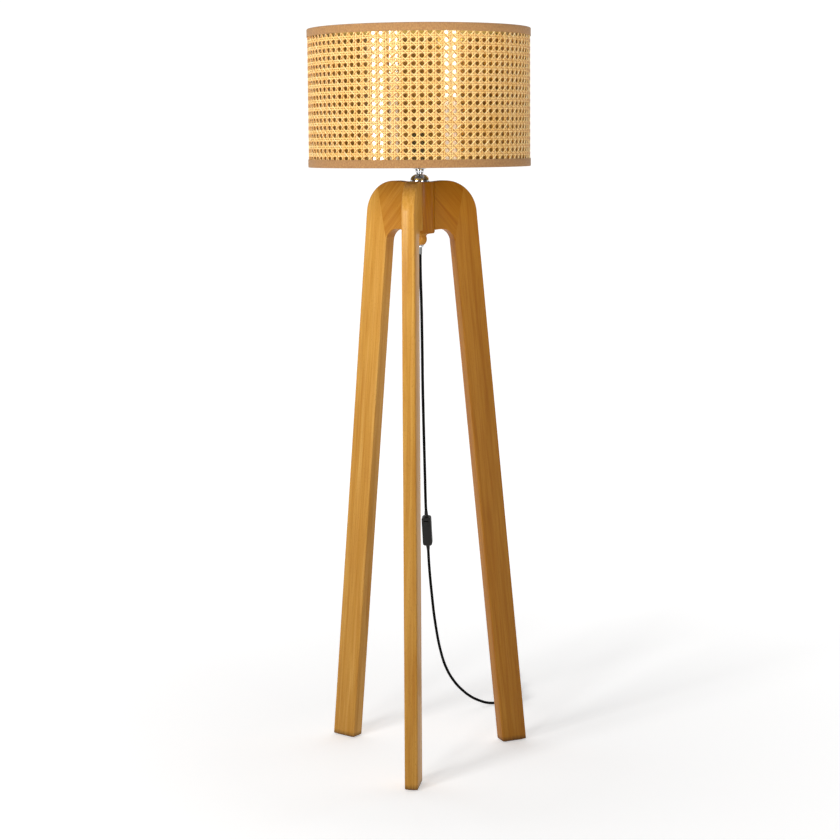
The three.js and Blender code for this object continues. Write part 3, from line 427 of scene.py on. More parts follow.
def linen_tape():
    material, tree, surface = finish(
        "linen_binding_tape", Roughness=0.85, Specular_IOR_Level=0.3, Sheen_Weight=0.1)
    lie = node(tree, "Attribute", attribute_name="lie").outputs["Vector"]
    threads = node(tree, "Mapping", {"Vector": lie, "Scale": (per(1.5), per(1.5), per(1.5))})
    warp = node(tree, "TexWave", {"Vector": threads.outputs[0], "Scale": 0.32, "Distortion": 0.6},
                bands_direction="X")
    weft = node(tree, "TexWave", {"Vector": threads.outputs[0], "Scale": 0.32, "Distortion": 0.6},
                bands_direction="Y")
    weave = node(tree, "Math", {0: warp.outputs["Fac"], 1: weft.outputs["Fac"]},
                 operation="MULTIPLY")
    slubs = node(tree, "Mapping", {"Vector": lie, "Scale": (per(3), per(4.5), per(4))})
    slub = node(tree, "TexNoise", {"Vector": slubs.outputs[0], "Scale": 1, "Detail": 3})
    tone = node(tree, "ValToRGB", {"Fac": slub.outputs["Fac"]},
                stops=[(0.3, "9E744A"), (0.7, "BC915C")])
    thread = node(tree, "ValToRGB", {"Fac": weave.outputs[0]},
                  stops=[(0.0, "B8A48C"), (0.5, "FFFFFF")])
    woven = node(tree, "Mix", {"Factor": 0.6, UNDER: tone.outputs[0], OVER: thread.outputs[0]},
                 **MULTIPLIED)
    tree.links.new(woven.outputs[MIXED], surface.inputs["Base Color"])
    bumped(tree, surface, weave.outputs[0], 0.3, 0.6)
    return material


linen = linen_tape()

# %% [markdown]
# Metals differ by how they were finished. Chrome plate is a mirror with the faintest handling marks,
# zinc-plated steel is grey with soft brushed lines, and brass is warm. Each keeps the default IOR.

# %% Plated and plain metals


def metal(name, code, roughness, spread, size):
    material, tree, surface = finish(name, Metallic=1.0)
    place = node(tree, "TexCoord").outputs["Object"]
    marks = node(tree, "TexNoise", {"Vector": place, "Scale": per(size), "Detail": 4})
    worn = node(tree, "MapRange",
                {"Value": marks.outputs["Fac"], "To Min": roughness, "To Max": roughness + spread})
    tree.links.new(worn.outputs[0], surface.inputs["Roughness"])
    tint = node(tree, "Mix", {"Factor": marks.outputs["Fac"], UNDER: colour(code), OVER: colour("F2F2F2")},
                **MULTIPLIED)
    tree.links.new(tint.outputs[MIXED], surface.inputs["Base Color"])
    return material


chrome = metal("polished_chrome_plate", "E4E6E8", 0.04, 0.06, 6)
zinc = metal("zinc_plated_steel", "B9BBBD", 0.28, 0.2, 1.5)
brass = metal("drawn_brass", "D2A857", 0.16, 0.15, 3)

# %% [markdown]
# The switch and the plug are moulded in ABS with a fine spark-eroded grain, the lead's sheath is soft
# PVC, and the reliefs and foot pads are rubber. All are black, so the eye tells them apart by how
# sharply they shine. The grain is 0.4 mm on the real thing and drawn at 0.8 mm here.

# %% Plastics, rubber and ceramic


def moulded(name, dark, light, roughness, grain, depth, shine=0.3):
    material, tree, surface = finish(name, Specular_IOR_Level=shine)
    place = node(tree, "TexCoord").outputs["Object"]
    grained = node(tree, "TexNoise", {"Vector": place, "Scale": per(grain), "Detail": 2})
    cloud = node(tree, "TexNoise", {"Vector": place, "Scale": per(12), "Detail": 3})
    tone = node(tree, "Mix", {"Factor": cloud.outputs["Fac"], UNDER: colour(dark), OVER: colour(light)},
                **BLENDED)
    tree.links.new(tone.outputs[MIXED], surface.inputs["Base Color"])
    wear = 0.06
    worn = node(tree, "MapRange",
                {"Value": cloud.outputs["Fac"], "To Min": roughness - wear, "To Max": roughness + wear})
    tree.links.new(worn.outputs[0], surface.inputs["Roughness"])
    bumped(tree, surface, grained.outputs["Fac"], depth, 0.5)
    return material


black_abs = moulded("black_moulded_abs", "0A0A09", "131211", 0.42, 0.8, 0.05)
sheath = moulded("black_pvc_sheath", "050505", "0C0B0A", 0.75, 1.4, 0.03, shine=0.06)
rubber = moulded("black_rubber", "171615", "232120", 0.62, 1.0, 0.06)
grey_sleeve = moulded("grey_nylon_sleeve", "6A6D6C", "848685", 0.42, 1.0, 0.04)
bakelite = moulded("black_phenolic_lampholder", "151312", "211D1A", 0.3, 2.0, 0.03, shine=0.1)
porcelain = moulded("unglazed_porcelain", "DAD4C8", "EFEAE0", 0.6, 0.8, 0.05)
brown_wire = moulded("brown_wire_insulation", "4A2A18", "5E3822", 0.45, 1.0, 0.02)
blue_wire = moulded("blue_wire_insulation", "24507E", "3568A0", 0.45, 1.0, 0.02)

# %% [markdown]
# ## Modelling
# Every modelling step starts by letting go of what is selected, because an operator works on all that
# is. These helpers start a piece from a primitive, open it in edit mode with everything selected, and
# leave its object at the origin with its place in its mesh.

# %% Helpers that hold and finish a piece


def only(piece):
    bpy.ops.object.select_all(action="DESELECT")
    piece.select_set(True)
    bpy.context.view_layer.objects.active = piece


def begin(name, primitive, **settings):
    bpy.ops.object.select_all(action="DESELECT")
    primitive(**settings)
    piece = bpy.context.object
    piece.name = name
    piece.data.name = name
    return piece


def edit(piece):
    only(piece)
    bpy.ops.object.mode_set(mode="EDIT")
    bpy.ops.mesh.select_mode(type="VERT")
    bpy.ops.mesh.select_all(action="SELECT")


def leave_edit():
    bpy.ops.object.mode_set(mode="OBJECT")


def settle(piece):
    only(piece)
    bpy.ops.object.transform_apply(location=True, rotation=True, scale=True)


def smooth(piece, angle=35):
    only(piece)
    bpy.ops.object.shade_smooth_by_angle(angle=math.radians(angle))


def carry(piece, body, material, slot, *nodes):
    """Gives a finished piece its finish and its body, and hides the imported nodes that it stands for"""
    piece.data.materials.clear()
    piece.data.materials.append(material)
    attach(piece, body)
    if nodes:
        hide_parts(*nodes)
    if piece.type == "MESH":
        print(piece.name, "faces:", len(piece.data.polygons))

# %% [markdown]
# The next helpers shape a piece: they lay out a closed loop, add a cylinder, apply a modifier for good,
# cut one piece with another and round edges over.

# %% Helpers that shape a piece


def looped(name, points):
    """A closed loop: a circle whose corners are moved to these points, in metres"""
    piece = begin(name, bpy.ops.mesh.primitive_circle_add, vertices=len(points), radius=1)
    for corner, point in zip(piece.data.vertices, points):
        corner.co = point
    return piece


def modify(piece, kind, **settings):
    modifier = piece.modifiers.new(kind.title(), kind)
    for name, value in settings.items():
        setattr(modifier, name, value)
    only(piece)
    bpy.ops.object.modifier_apply(modifier=modifier.name)


def cut_away(piece, cutter):
    modify(piece, "BOOLEAN", object=cutter, operation="DIFFERENCE", solver="EXACT")
    bpy.data.objects.remove(cutter)


def cylinder(name, corners, radius, depth, place=(0, 0, 0), turn=(0, 0, 0)):
    """A cylinder primitive, with its sizes and its place in mm"""
    return begin(name, bpy.ops.mesh.primitive_cylinder_add, vertices=corners, radius=radius * MM,
                 depth=depth * MM, location=[side * MM for side in place], rotation=turn)


def round_edges(piece, width, segments, angle):
    """Rounds the edges that turn by more than an angle in degrees, by a width in mm"""
    modify(piece, "BEVEL", width=width * MM, segments=segments, limit_method="ANGLE",
           angle_limit=math.radians(angle))


def extrude_by(step):
    """Pulls what is selected out by a step in metres"""
    bpy.ops.mesh.extrude_region_move(TRANSFORM_OT_translate={"value": step})


# %% [markdown]
# ## Legs
# Each leg is one board with a leaning leg and an arm square to it, joined by a wide round shoulder and
# a smaller arch. A saw cuts such an outline from a wide board, and that is how it is made here: a
# closed loop is laid out, filled, extruded to the board's thickness, and its edges are rounded over
# as a router would. Last, the arm's end is coped to the hub.

# %% The legs' outline
tube_bore = 5.3
foot_reach, shoulder_reach = 233.7, 117.2
shoulder = Vector((shoulder_reach, 1203))
lean = math.atan2(foot_reach - shoulder_reach, shoulder.y)
down_leg = Vector((math.sin(lean), -math.cos(lean)))
along_arm = Vector((-math.cos(lean), -math.sin(lean)))
leg_width = 55.6 * math.cos(lean)
arm_depth = 97.4
foot_height = 1.8
hub_radius = 30
hub_top, hub_bottom = 1194.5, 1091.7
shoulder_radius, arch_radius = 70, 28
joint_at_arch, joint_at_shoulder = 48, 20
arm_overrun = 8


def arc(centre, radius, start, end, steps):
    """Points in mm along an arc, with its angles in degrees"""
    angles = [math.radians(start + (end - start) * step / steps) for step in range(steps + 1)]
    return [[centre[0] + radius * math.cos(a), centre[1] + radius * math.sin(a)] for a in angles]


def from_shoulder(down, along):
    return shoulder + down_leg * down + along_arm * along


joint_foot, joint_head = from_shoulder(arm_depth, joint_at_arch), from_shoulder(0, joint_at_shoulder)
joint_out = Vector((joint_head.y - joint_foot.y, joint_foot.x - joint_head.x)).normalized()
arm_grain = math.radians(42)


def at_foot(point):
    return point + down_leg * ((point.y - foot_height) / math.cos(lean))


def leg_outline():
    tilt = math.degrees(lean)
    arch = from_shoulder(arm_depth, leg_width)
    arm_length = (shoulder_reach - hub_radius + arm_overrun) / math.cos(lean) + arm_depth * math.tan(lean)
    middle = from_shoulder(shoulder_radius, shoulder_radius)
    shoulder_round = arc(middle, shoulder_radius, tilt, 90 + tilt, 20)
    arch_round = arc(arch + (down_leg + along_arm) * arch_radius, arch_radius, 90 + tilt, tilt, 12)
    ends = [from_shoulder(0, arm_length), from_shoulder(arm_depth, arm_length)]
    return [at_foot(arch), at_foot(shoulder), *shoulder_round, *ends, *arch_round]


print("leg leans, degrees:", round(math.degrees(lean), 2))

# %% [markdown]
# The wood's pattern has to know which way each piece of wood lies, so every corner of a mesh stores
# its place turned until the grain runs along Z. A shift of its own keeps two pieces from looking alike.

# %% Lay the grain


def lay_grain(piece, turn, leg_stain_and_shade, arm_stain_and_shade=0.0):
    """Stores each corner's place on its wood as 'lie', and as 'stain' its honey colour and painted shade"""
    arm_shift = 0.31
    upright = Matrix.Rotation(-turn, 3, "Z")
    along_leg = Matrix.Rotation(lean, 3, "Y")
    along_slant = Matrix.Rotation(arm_grain, 3, "Y")
    mesh = piece.data
    mesh.attributes.new("lie", "FLOAT_VECTOR", "CORNER")
    mesh.attributes.new("darkening", "FLOAT", "CORNER")
    places, depths = [], []
    for face in mesh.polygons:
        middle = upright @ face.center
        is_arm = arm_stain_and_shade and (Vector((middle.x, middle.z)) - joint_foot * MM).dot(joint_out) < 0
        shift = Vector((0, 0, math.degrees(turn) * 7 * MM + (arm_shift if is_arm else 0)))
        for corner in face.vertices:
            place = upright @ mesh.vertices[corner].co
            places.extend((along_slant if is_arm else along_leg) @ place + shift)
            depths.append(arm_stain_and_shade if is_arm else leg_stain_and_shade)
    mesh.attributes["lie"].data.foreach_set("vector", places)
    mesh.attributes["darkening"].data.foreach_set("value", depths)


# %% [markdown]
# Each board is glued up from two pieces. The leg's grain runs down the leg, and the arm's grain climbs
# slantwise towards the hub. The glue line runs from the arch to the outside of the shoulder, so the
# board's faces are cut along it, and the grain changes there.
#
# The boards of the photographed lamp stand a little askew, as hand-screwed ones may. The front one is
# 2 mm thinner, swung 3 degrees round the hub and set off its middle, and the other two lean a few
# millimetres to one side. So each board has its azimuth, its thickness, how far it stands to the side
# at the hub and at the floor, and how far it is moved outwards at the hub.

# %% Saw, round over and cope the three legs
boards = {
    "front": (-93, 26.4, -4.1, 13.4, 0),
    "right": (30, 28.6, 0, 0, -2.7),
    "left": (150, 28.6, 0, 0, 3.1),
}
# How much darker each board is drawn, leg then arm. Beyond the honey stain this is painted shade: the right
# board faces away from the main light, and the arms lie under the shade.
stain_and_shade = {"front": (0.26, 0.3), "right": (0.8, 0.95), "left": (0.24, 0.7)}


def leg(side, azimuth, thickness, side_at_hub, side_at_floor, out_at_hub):
    half = thickness / 2 * MM
    piece = looped(f"{side}_board", [(r * MM, -half, z * MM) for r, z in leg_outline()])
    edit(piece)
    bpy.ops.mesh.edge_face_add()
    extrude_by((0, 2 * half, 0))
    bpy.ops.mesh.select_all(action="SELECT")
    bpy.ops.mesh.normals_make_consistent(inside=False)
    leave_edit()
    round_edges(piece, 2.2, 4, 50)
    edit(piece)
    bpy.ops.mesh.bisect(plane_co=(joint_foot.x * MM, 0, joint_foot.y * MM),
                        plane_no=(joint_out.x, 0, joint_out.y))
    leave_edit()
    askew = Matrix.Identity(4)
    askew[0][2] = out_at_hub / hub_top
    askew[1][2] = (side_at_hub - side_at_floor) / hub_top
    askew[1][3] = side_at_floor * MM
    piece.data.transform(askew)
    cut_away(piece, cylinder("cope", 96, hub_radius + 0.3, 200, (0, 0, 1150)))
    piece.rotation_euler.z = math.radians(azimuth)
    settle(piece)
    lay_grain(piece, math.radians(azimuth), *stain_and_shade[side])
    smooth(piece, 30)
    carry(piece, "stand", beech, "beech_wood", f"leg_{side}")


for side, places in boards.items():
    leg(side, *places)

# %% [markdown]
# The hub and the finial below it are turned on a lathe, so they are spun from half of their section.
# The hub is bored out for the screw heads, and the finial's spigot closes that bore from below.

# %% Turn the hub and the finial


def turned(name, profile, steps=96, angle=35):
    """Spins a closed profile of [radius, height] points, in mm, once round the lamp's axis"""
    piece = looped(name, [(radius * MM, 0, height * MM) for radius, height in profile])
    edit(piece)
    bpy.ops.mesh.spin(steps=steps, angle=math.tau, center=(0, 0, 0), axis=(0, 0, 1))
    bpy.ops.mesh.select_all(action="SELECT")
    bpy.ops.mesh.remove_doubles(threshold=0.002 * MM)
    bpy.ops.mesh.normals_make_consistent(inside=False)
    leave_edit()
    smooth(piece, angle)
    return piece


screw_bore, hub_roof, hub_round = 18, 12, 1.2
round_reach = 28.8
hub_profile = [
    [screw_bore, hub_bottom], [29, hub_bottom],
    *arc((round_reach, hub_bottom + hub_round), hub_round, -90, 0, 4),
    *arc((round_reach, hub_top - hub_round), hub_round, 0, 90, 4), [tube_bore, hub_top],
    [tube_bore, hub_top - hub_roof], [screw_bore, hub_top - hub_roof],
]
hub = turned("turned_hub", hub_profile)
# The hub is drawn darker than any board, as painted shade under the shade and between the arms.
lay_grain(hub, 0.3, 1.15)
carry(hub, "stand", beech, "beech_wood", "hub")

finial_top, finial_bottom = hub_bottom - 0.3, 1067.0
ball_centre, ball_radius = finial_top - 13.2, 14
spigot_radius, spigot_top = 17.7, finial_top + 9
flange_reach, flange_round = 28.2, 0.6
cove = [[26.6, 1.35], [21.5, 1.9], [17.4, 2.7], [15.2, 3.6], [13.9, 4.9], [13.1, 6.2], [12.75, 7.2]]
finial_profile = [
    [tube_bore, finial_bottom], [tube_bore, spigot_top], [spigot_radius, spigot_top],
    [spigot_radius, finial_top], [flange_reach, finial_top],
    *arc((flange_reach, finial_top - flange_round), flange_round, 90, -90, 5),
    *([reach, finial_top - drop] for reach, drop in cove),
    *arc((0, ball_centre), ball_radius, 21, -53, 18), [8.2, finial_bottom],
]
finial = turned("turned_finial", finial_profile)
lay_grain(finial, 0.9, 0.75)
carry(finial, "stand", beech, "beech_wood", "finial")

# %% [markdown]
# ## Neck
# Above the hub is a chromed stack: a bell cup, a spacer, a collar nut with a groove and a washer, all
# threaded on one tube. Mirror metal shows every flat spot, so these are spun in many fine steps.

# %% Spin the chromed neck


def bell_curve(radius, height, base, steps=16):
    """The bell's flank: a squarish dome, steep at its rim and flat on top"""
    power = 2.4
    rises = [0.985 * math.sin(math.pi / 2 * step / steps) for step in range(steps + 1)]
    return [[radius * (1 - rise ** power) ** (1 / power), base + height * rise] for rise in rises]


def chamfered(bore, reach, low, high, chamfer):
    """The section of a flat ring whose outer corners are broken"""
    side = reach - chamfer
    return [[bore, low], [side, low], [reach, low + chamfer], [reach, high - chamfer], [side, high],
            [bore, high]]


bell_base = 1194.8
bell_profile = [
    *bell_curve(19.5, 15.5, bell_base), [tube_bore, 1210.3], [tube_bore, 1209.1],
    *bell_curve(18.3, 14.3, bell_base)[::-1],
]
collar_profile = [
    [tube_bore, 1213.9], [8.4, 1213.9], *arc((8.35, 1214.7), 0.8, -60, 0, 3), [9.15, 1216.5], [8.3, 1217.0],
    [8.3, 1217.5], [9.15, 1218.0], *arc((8.35, 1219.8), 0.8, 0, 60, 3), [8.4, 1220.6], [tube_bore, 1220.6],
]
washer_profile = [
    [tube_bore, 1220.9], [13.2, 1220.9], *arc((13.1, 1221.65), 0.65, -70, 70, 5), [13.2, 1222.4],
    [tube_bore, 1222.4],
]
neck_profiles = {
    "bell_cup": bell_profile,
    "neck_spacer": chamfered(tube_bore, 7.5, 1210.6, 1213.6, 0.3),
    "collar_nut": collar_profile,
    "neck_washer": washer_profile,
    "bottom_washer": chamfered(tube_bore, 8, 1065.5, 1066.7, 0.3),
}
for name, profile in neck_profiles.items():
    carry(turned(f"chrome_{name}", profile), "stand", chrome, "chrome", name)

# %% [markdown]
# The nut under the finial is a six-sided bar cut short, with its corners broken on both faces. The
# grey sleeve below it grips the lead.

# %% Bottom nut and sleeve
nut_place = (0, 0, 1063.7)
nut = cylinder("six_sided_nut", 6, 14 / math.sqrt(3), 3, nut_place)
settle(nut)
cut_away(nut, cylinder("bore", 48, tube_bore, 20, nut_place))
round_edges(nut, 0.35, 2, 40)
smooth(nut, 30)
carry(nut, "stand", chrome, "chrome", "bottom_nut")

sleeve_profile = [
    [3.3, 1047.7], *arc((3.45, 1047.95), 0.25, -90, 0, 3), [3.8, 1055], [3.9, 1061.6], [3.9, 1067.7],
    [3.3, 1067.7],
]
sleeve = turned("lead_sleeve", sleeve_profile, steps=48)
carry(sleeve, "stand", grey_sleeve, "grey_plastic", "cord_grip")

# %% [markdown]
# ## Lampholder
# Inside the shade sits a black phenolic lampholder: a cap, an outer shell with a coarse thread that
# carries the shade, a porcelain insulator and a brass screw shell.

# %% Lampholder pieces
cap_profile = [
    [tube_bore, 1222.7], [11.5, 1222.7], *arc((12.2, 1224.9), 2.2, -80, -20, 4), [18.4, 1232.0],
    [19, 1233.2], [19, 1242.6], [18.6, 1243.0], [16.8, 1243.0], [16.8, 1234.0], [11.5, 1227.1],
    [tube_bore, 1224.9],
]
shell_top, shell_base, collar_top = 1297.0, 1243.3, 1246.5


def shell_profile():
    threads = []
    for turn in range(14):
        height = collar_top + 2.5 + turn * 3
        threads += [[18.9, height], [19.4, height + 0.9], [19.4, height + 1.5], [18.9, height + 2.4]]
    return [
        [16.6, shell_base], [22.2, shell_base], [22.6, shell_base + 0.4], [22.6, collar_top - 0.4],
        [22.2, collar_top], [18.9, collar_top], *threads, [18.9, shell_top - 0.6],
        [18.3, shell_top], [16.6, shell_top],
    ]


def screw_profile():
    thread_pitch, thread_steps, thread_depth, thread_start = 3.63, 8, 0.5, 1259.0
    outer, inner = [], []
    for step in range(41):
        wave = thread_depth * math.cos(math.tau * step / thread_steps)
        height = thread_start + step * thread_pitch / thread_steps
        outer.append([14.4 + wave, height])
        inner.append([13.8 + wave, height])
    return outer + inner[::-1]


insulator_profile = [
    [0, 1246.7], [15.8, 1246.7], [16.2, 1247.1], [16.2, 1258.3], [15.8, 1258.7], [9, 1258.7], [9, 1253.7],
    [0, 1253.7],
]
holder_pieces = [
    (turned("holder_cap", cap_profile, 72), bakelite, "black_plastic", "lampholder_cap"),
    (turned("holder_shell", shell_profile(), 72), bakelite, "black_plastic", "lampholder_shell"),
    (turned("holder_insulator", insulator_profile, 64), porcelain, "white_ceramic",
     "lampholder_insulator"),
    (turned("holder_thread", screw_profile(), 64, 60), brass, "brass", "screw_shell"),
]
for piece, *finished in holder_pieces:
    carry(piece, "stand", *finished)

# %% [markdown]
# The shade ring screws down on the fitter. Its ribs are every other strip of its side, and a strip is
# told by its angle, because the order of a spun mesh's faces isn't the same each time.

# %% Shade ring with its ribs
PARTS = {"verts": "VERT", "edges": "EDGE", "faces": "FACE"}
ring_bore, ring_reach, ring_base, ring_top = 19.9, 24.0, 1248.7, 1256.7
ring_steps = 72


def pick(piece, kind, test):
    """Selects only the corners, edges or faces that pass a test"""
    bpy.ops.mesh.select_mode(type=PARTS[kind])
    bpy.ops.mesh.select_all(action="DESELECT")
    shape = bmesh.from_edit_mesh(piece.data)
    for part in getattr(shape, kind):
        if test(part):
            part.select_set(True)
    bmesh.update_edit_mesh(piece.data)


def on_a_rib(face):
    """Every second face of the ring's outside, told by its angle"""
    centre = face.calc_center_median()
    sector = int(math.atan2(centre.y, centre.x) % math.tau / (math.tau / ring_steps))
    return centre.xy.length > 23.8 * MM and abs(face.normal.z) < 0.1 and sector % 2


ring_profile = chamfered(ring_bore, ring_reach, ring_base, ring_top, 0.4)
shade_ring = turned("ribbed_ring", ring_profile, ring_steps)
edit(shade_ring)
pick(shade_ring, "faces", on_a_rib)
bpy.ops.mesh.extrude_region_shrink_fatten(TRANSFORM_OT_shrink_fatten={"value": 0.5 * MM})
leave_edit()
smooth(shade_ring, 30)
carry(shade_ring, "shade_ring", bakelite, "black_plastic", "shade_ring")

# %% [markdown]
# ## Shade
# Octagonal cane webbing is woven from six sets of strands. Upright pairs and level pairs cross at the
# nodes, where the strands go over and under in turn, and two sets of diagonals run between the nodes.
# One set lies over the uprights and under the level pairs, and the other the opposite way, which rounds
# each square opening into the eight-sided hole that gives the pattern its name. One repeat of each
# strand is drawn flat and copied by Array modifiers into a flat cloth, and the cloth is then rolled
# round the drum.

# %% Sizes of the weave
shade_radius = 225.0
columns = 88
cloth_radius = shade_radius - 2.3
column_pitch = math.tau * cloth_radius / columns
row_pitch = 14.91
first_row = 1258.2
first_column = math.radians(-81.9)
cane_low, cane_high = 1226.3, 1498.7
strand_thickness = 0.62
diagonal_rise = 0.72
node_rise = 0.34
rows_down = 3
row_count = 20
print("webbing repeats every, mm:", round(column_pitch, 2), row_pitch)

# %% [markdown]
# A strand is a thin flat section pushed from station to station by extrusion, which gives the bends
# where it climbs over another. Array modifiers then copy the one repeat along a row and up the rows.

# %% Helpers that draw and copy a strand


def strand_repeat(name, stations, width):
    """One repeat of a strand in the flat: x round the drum, y outwards and z up, in mm"""
    start, end = Vector(stations[0]), Vector(stations[-1])
    line = Vector((end.x - start.x, 0, end.z - start.z)).normalized()
    across = line.cross(Vector((0, 1, 0)))
    out = Vector((0, 1, 0))
    half, rise = width / 2, strand_thickness / 2
    corners = [(-half, -rise), (half, -rise), (half * 0.62, rise), (-half * 0.62, rise)]
    piece = looped(name, [(start + across * a + out * o) * MM for a, o in corners])
    edit(piece)
    for before, after in zip(stations, stations[1:]):
        extrude_by((Vector(after) - Vector(before)) * MM)
    leave_edit()
    return piece


def repeat(piece, count, shift):
    modify(piece, "ARRAY", count=count, use_relative_offset=False, use_constant_offset=True,
           constant_offset_displace=Vector(shift) * MM, use_merge_vertices=True,
           use_merge_vertices_cap=False, merge_threshold=0.01 * MM)


# %% [markdown]
# While the cloth is flat, each point's place along its strand is easy to work out, so it is stored
# before the cloth is rolled up. Rolling turns the way round the drum into an angle.

# %% Helpers that number the strands and roll the cloth up


def number_strands(piece, line, spacing, offset=0.0, first=0.0, depth=0.0):
    """Stores the place across and along each strand and its number as 'lie', and its depth as 'stain'"""
    mesh = piece.data
    places = np.empty(len(mesh.vertices) * 3, dtype=np.float32)
    mesh.vertices.foreach_get("co", places)
    places = places.reshape(-1, 3)
    along = places[:, 0] * line[0] + places[:, 2] * line[1]
    across = places[:, 0] * line[1] - places[:, 2] * line[0] - offset * MM
    number = np.round(across / (spacing * MM))
    lie = np.stack([across - number * spacing * MM, along, number + first], axis=1).astype(np.float32)
    mesh.attributes.new("lie", "FLOAT_VECTOR", "POINT").data.foreach_set("vector", lie.ravel())
    mesh.attributes.new("darkening", "FLOAT", "POINT").data.foreach_set("value", np.full(len(number), depth))


def roll_up(piece):
    """Rolls the flat cloth round the drum, trims it to the shade's height and closes the strands"""
    mesh = piece.data
    places = np.empty(len(mesh.vertices) * 3, dtype=np.float64)
    mesh.vertices.foreach_get("co", places)
    flat = places.reshape(-1, 3)
    turn = first_column + flat[:, 0] / (cloth_radius * MM)
    reach = cloth_radius * MM + flat[:, 1]
    rolled = np.stack([reach * np.cos(turn), reach * np.sin(turn), flat[:, 2]], axis=1)
    mesh.vertices.foreach_set("co", rolled.ravel())
    edit(piece)
    for height, side in ((cane_low, -1), (cane_high, 1)):
        bpy.ops.mesh.select_all(action="SELECT")
        bpy.ops.mesh.bisect(plane_co=(0, 0, height * MM), plane_no=(0, 0, side), use_fill=False,
                            clear_outer=True)
    bpy.ops.mesh.select_all(action="SELECT")
    bpy.ops.mesh.remove_doubles(threshold=0.005 * MM)
    bpy.ops.mesh.fill_holes(sides=8)
    bpy.ops.mesh.normals_make_consistent(inside=False)
    leave_edit()
    smooth(piece, 50)


# %% Weave the upright and level pairs
node_x, node_z = column_pitch / 2, row_pitch / 2
upright_side, level_side = 2.2, 1.98
pinch = 0.4
bottom_row = first_row - rows_down * row_pitch


def upright(name, side, width=3.15):
    """One strand of the upright pair, from below a node to below the next"""
    wide, close = side * upright_side, side * (upright_side - pinch)
    stations = [
        (wide, 0, -2 * level_side), (close, -side * node_rise, -level_side), (close, 0, 0),
        (close, side * node_rise, level_side), (wide, 0, 2 * level_side),
        (wide, 0, row_pitch - 2 * level_side),
    ]
    places = [(node_x + x, y, bottom_row + node_z + z) for x, y, z in stations]
    piece = strand_repeat(name, places, width)
    repeat(piece, row_count, (0, 0, row_pitch))
    repeat(piece, columns, (column_pitch, 0, 0))
    number_strands(piece, (0, 1), column_pitch, node_x + wide, 0.25 * side, 0.45)
    return piece


def level(name, side, width=2.85):
    """One strand of the level pair, from left of a node to left of the next"""
    wide, close = side * level_side, side * (level_side - pinch)
    stations = [
        (-2 * upright_side, 0, wide), (-upright_side, side * node_rise, close), (0, 0, close),
        (upright_side, -side * node_rise, close), (2 * upright_side, 0, wide),
        (column_pitch - 2 * upright_side, 0, wide),
    ]
    places = [(node_x + x, y, bottom_row + node_z + z) for x, y, z in stations]
    piece = strand_repeat(name, places, width)
    repeat(piece, columns, (column_pitch, 0, 0))
    repeat(piece, row_count, (0, 0, row_pitch))
    number_strands(piece, (1, 0), row_pitch, -(bottom_row + node_z + wide), 0.25 * side, 0.45)
    return piece


def joined(name, pieces):
    bpy.ops.object.select_all(action="DESELECT")
    for piece in pieces:
        piece.select_set(True)
    bpy.context.view_layer.objects.active = pieces[0]
    bpy.ops.object.join()
    pieces[0].name = pieces[0].data.name = name
    return pieces[0]


uprights = joined("cane_uprights", [upright("upright_a", -1), upright("upright_b", 1)])
levels = joined("cane_levels", [level("level_a", -1), level("level_b", 1)])
for piece in (uprights, levels):
    roll_up(piece)
    carry(piece, "shade", cane, "rattan_cane")

# %% Weave the two sets of diagonals
flat_run = 2.7


def diagonal(name, side, width=2.8):
    """One diagonal set. Side 1 climbs to the right and lies over the uprights."""
    turns = [-flat_run, flat_run, node_x - flat_run, node_x + flat_run, column_pitch - flat_run]
    rises = [-1, -1, 1, 1, -1]
    stations = []
    for along, rise in zip(turns, rises):
        height = bottom_row - side * node_z + side * along * row_pitch / column_pitch
        stations.append((along, side * rise * diagonal_rise, height))
    if side < 0:
        stations = [(x, y, z + row_count * row_pitch) for x, y, z in stations]
    piece = strand_repeat(name, stations, width)
    repeat(piece, row_count + 1, (column_pitch, 0, side * row_pitch))
    repeat(piece, columns, (column_pitch, 0, 0))
    return piece


direction = Vector((column_pitch, row_pitch)).normalized()
spacing = column_pitch * direction.y
for name, side in (("cane_diagonals_right", 1), ("cane_diagonals_left", -1)):
    piece = diagonal(name, side)
    number_strands(piece, (direction.x, side * direction.y), spacing)
    roll_up(piece)
    carry(piece, "shade", cane, "rattan_cane")

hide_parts("cane_panel")

# %% [markdown]
# The film is one thin drum just inside the cane. The linen tape is folded over each rim: its section
# has a rounded fold, an outer wall 16 mm wide and a lip inside. The attribute "lie" runs round the
# tape and across it, so the threads follow it.

# %% Film and binding tapes
shade_low, shade_high = 1225.0, 1500.0
drum_steps = 180

film_outer = shade_radius - 3.9
film_inner = film_outer - 0.9
film_drum = turned("film_drum", [
    [film_inner, 1226.0], [film_outer, 1226.0], [film_outer, 1499.0], [film_inner, 1499.0]], drum_steps)
carry(film_drum, "shade", film, "amber_film", "liner")


def tape_profile(edge, side):
    """The tape's section from its outer hem, over the rim, to its inner lip"""
    section = [
        [0.15, 15.9], [0, 15.6], [0.05, 8], [0, 1.6], [0.3, 0.75], [1, 0.2], [2.1, 0], [8.4, 0.05],
        [9, 0.35], [8.9, 0.7], [2.5, 0.72], [1.1, 1.2], [0.7, 2.2], [0.7, 15.9],
    ]
    return [[shade_radius - inset, edge + side * depth] for inset, depth in section]


def lay_tape(piece, edge):
    mesh = piece.data
    lie = mesh.attributes.new("lie", "FLOAT_VECTOR", "CORNER")
    values = []
    for face in mesh.polygons:
        middle = math.atan2(face.center.y, face.center.x)
        for corner in face.vertices:
            place = mesh.vertices[corner].co
            turn = math.atan2(place.y, place.x)
            turn += math.tau * round((middle - turn) / math.tau)
            values += [turn * shade_radius * MM, abs(place.z - edge * MM) + place.xy.length, 0]
    lie.data.foreach_set("vector", values)


for name, edge, side in (("top_trim", shade_high, -1), ("bottom_trim", shade_low, 1)):
    tape = turned(f"folded_{name}", tape_profile(edge, side), drum_steps, 60)
    lay_tape(tape, edge)
    carry(tape, "shade", linen, "linen_tape", name)

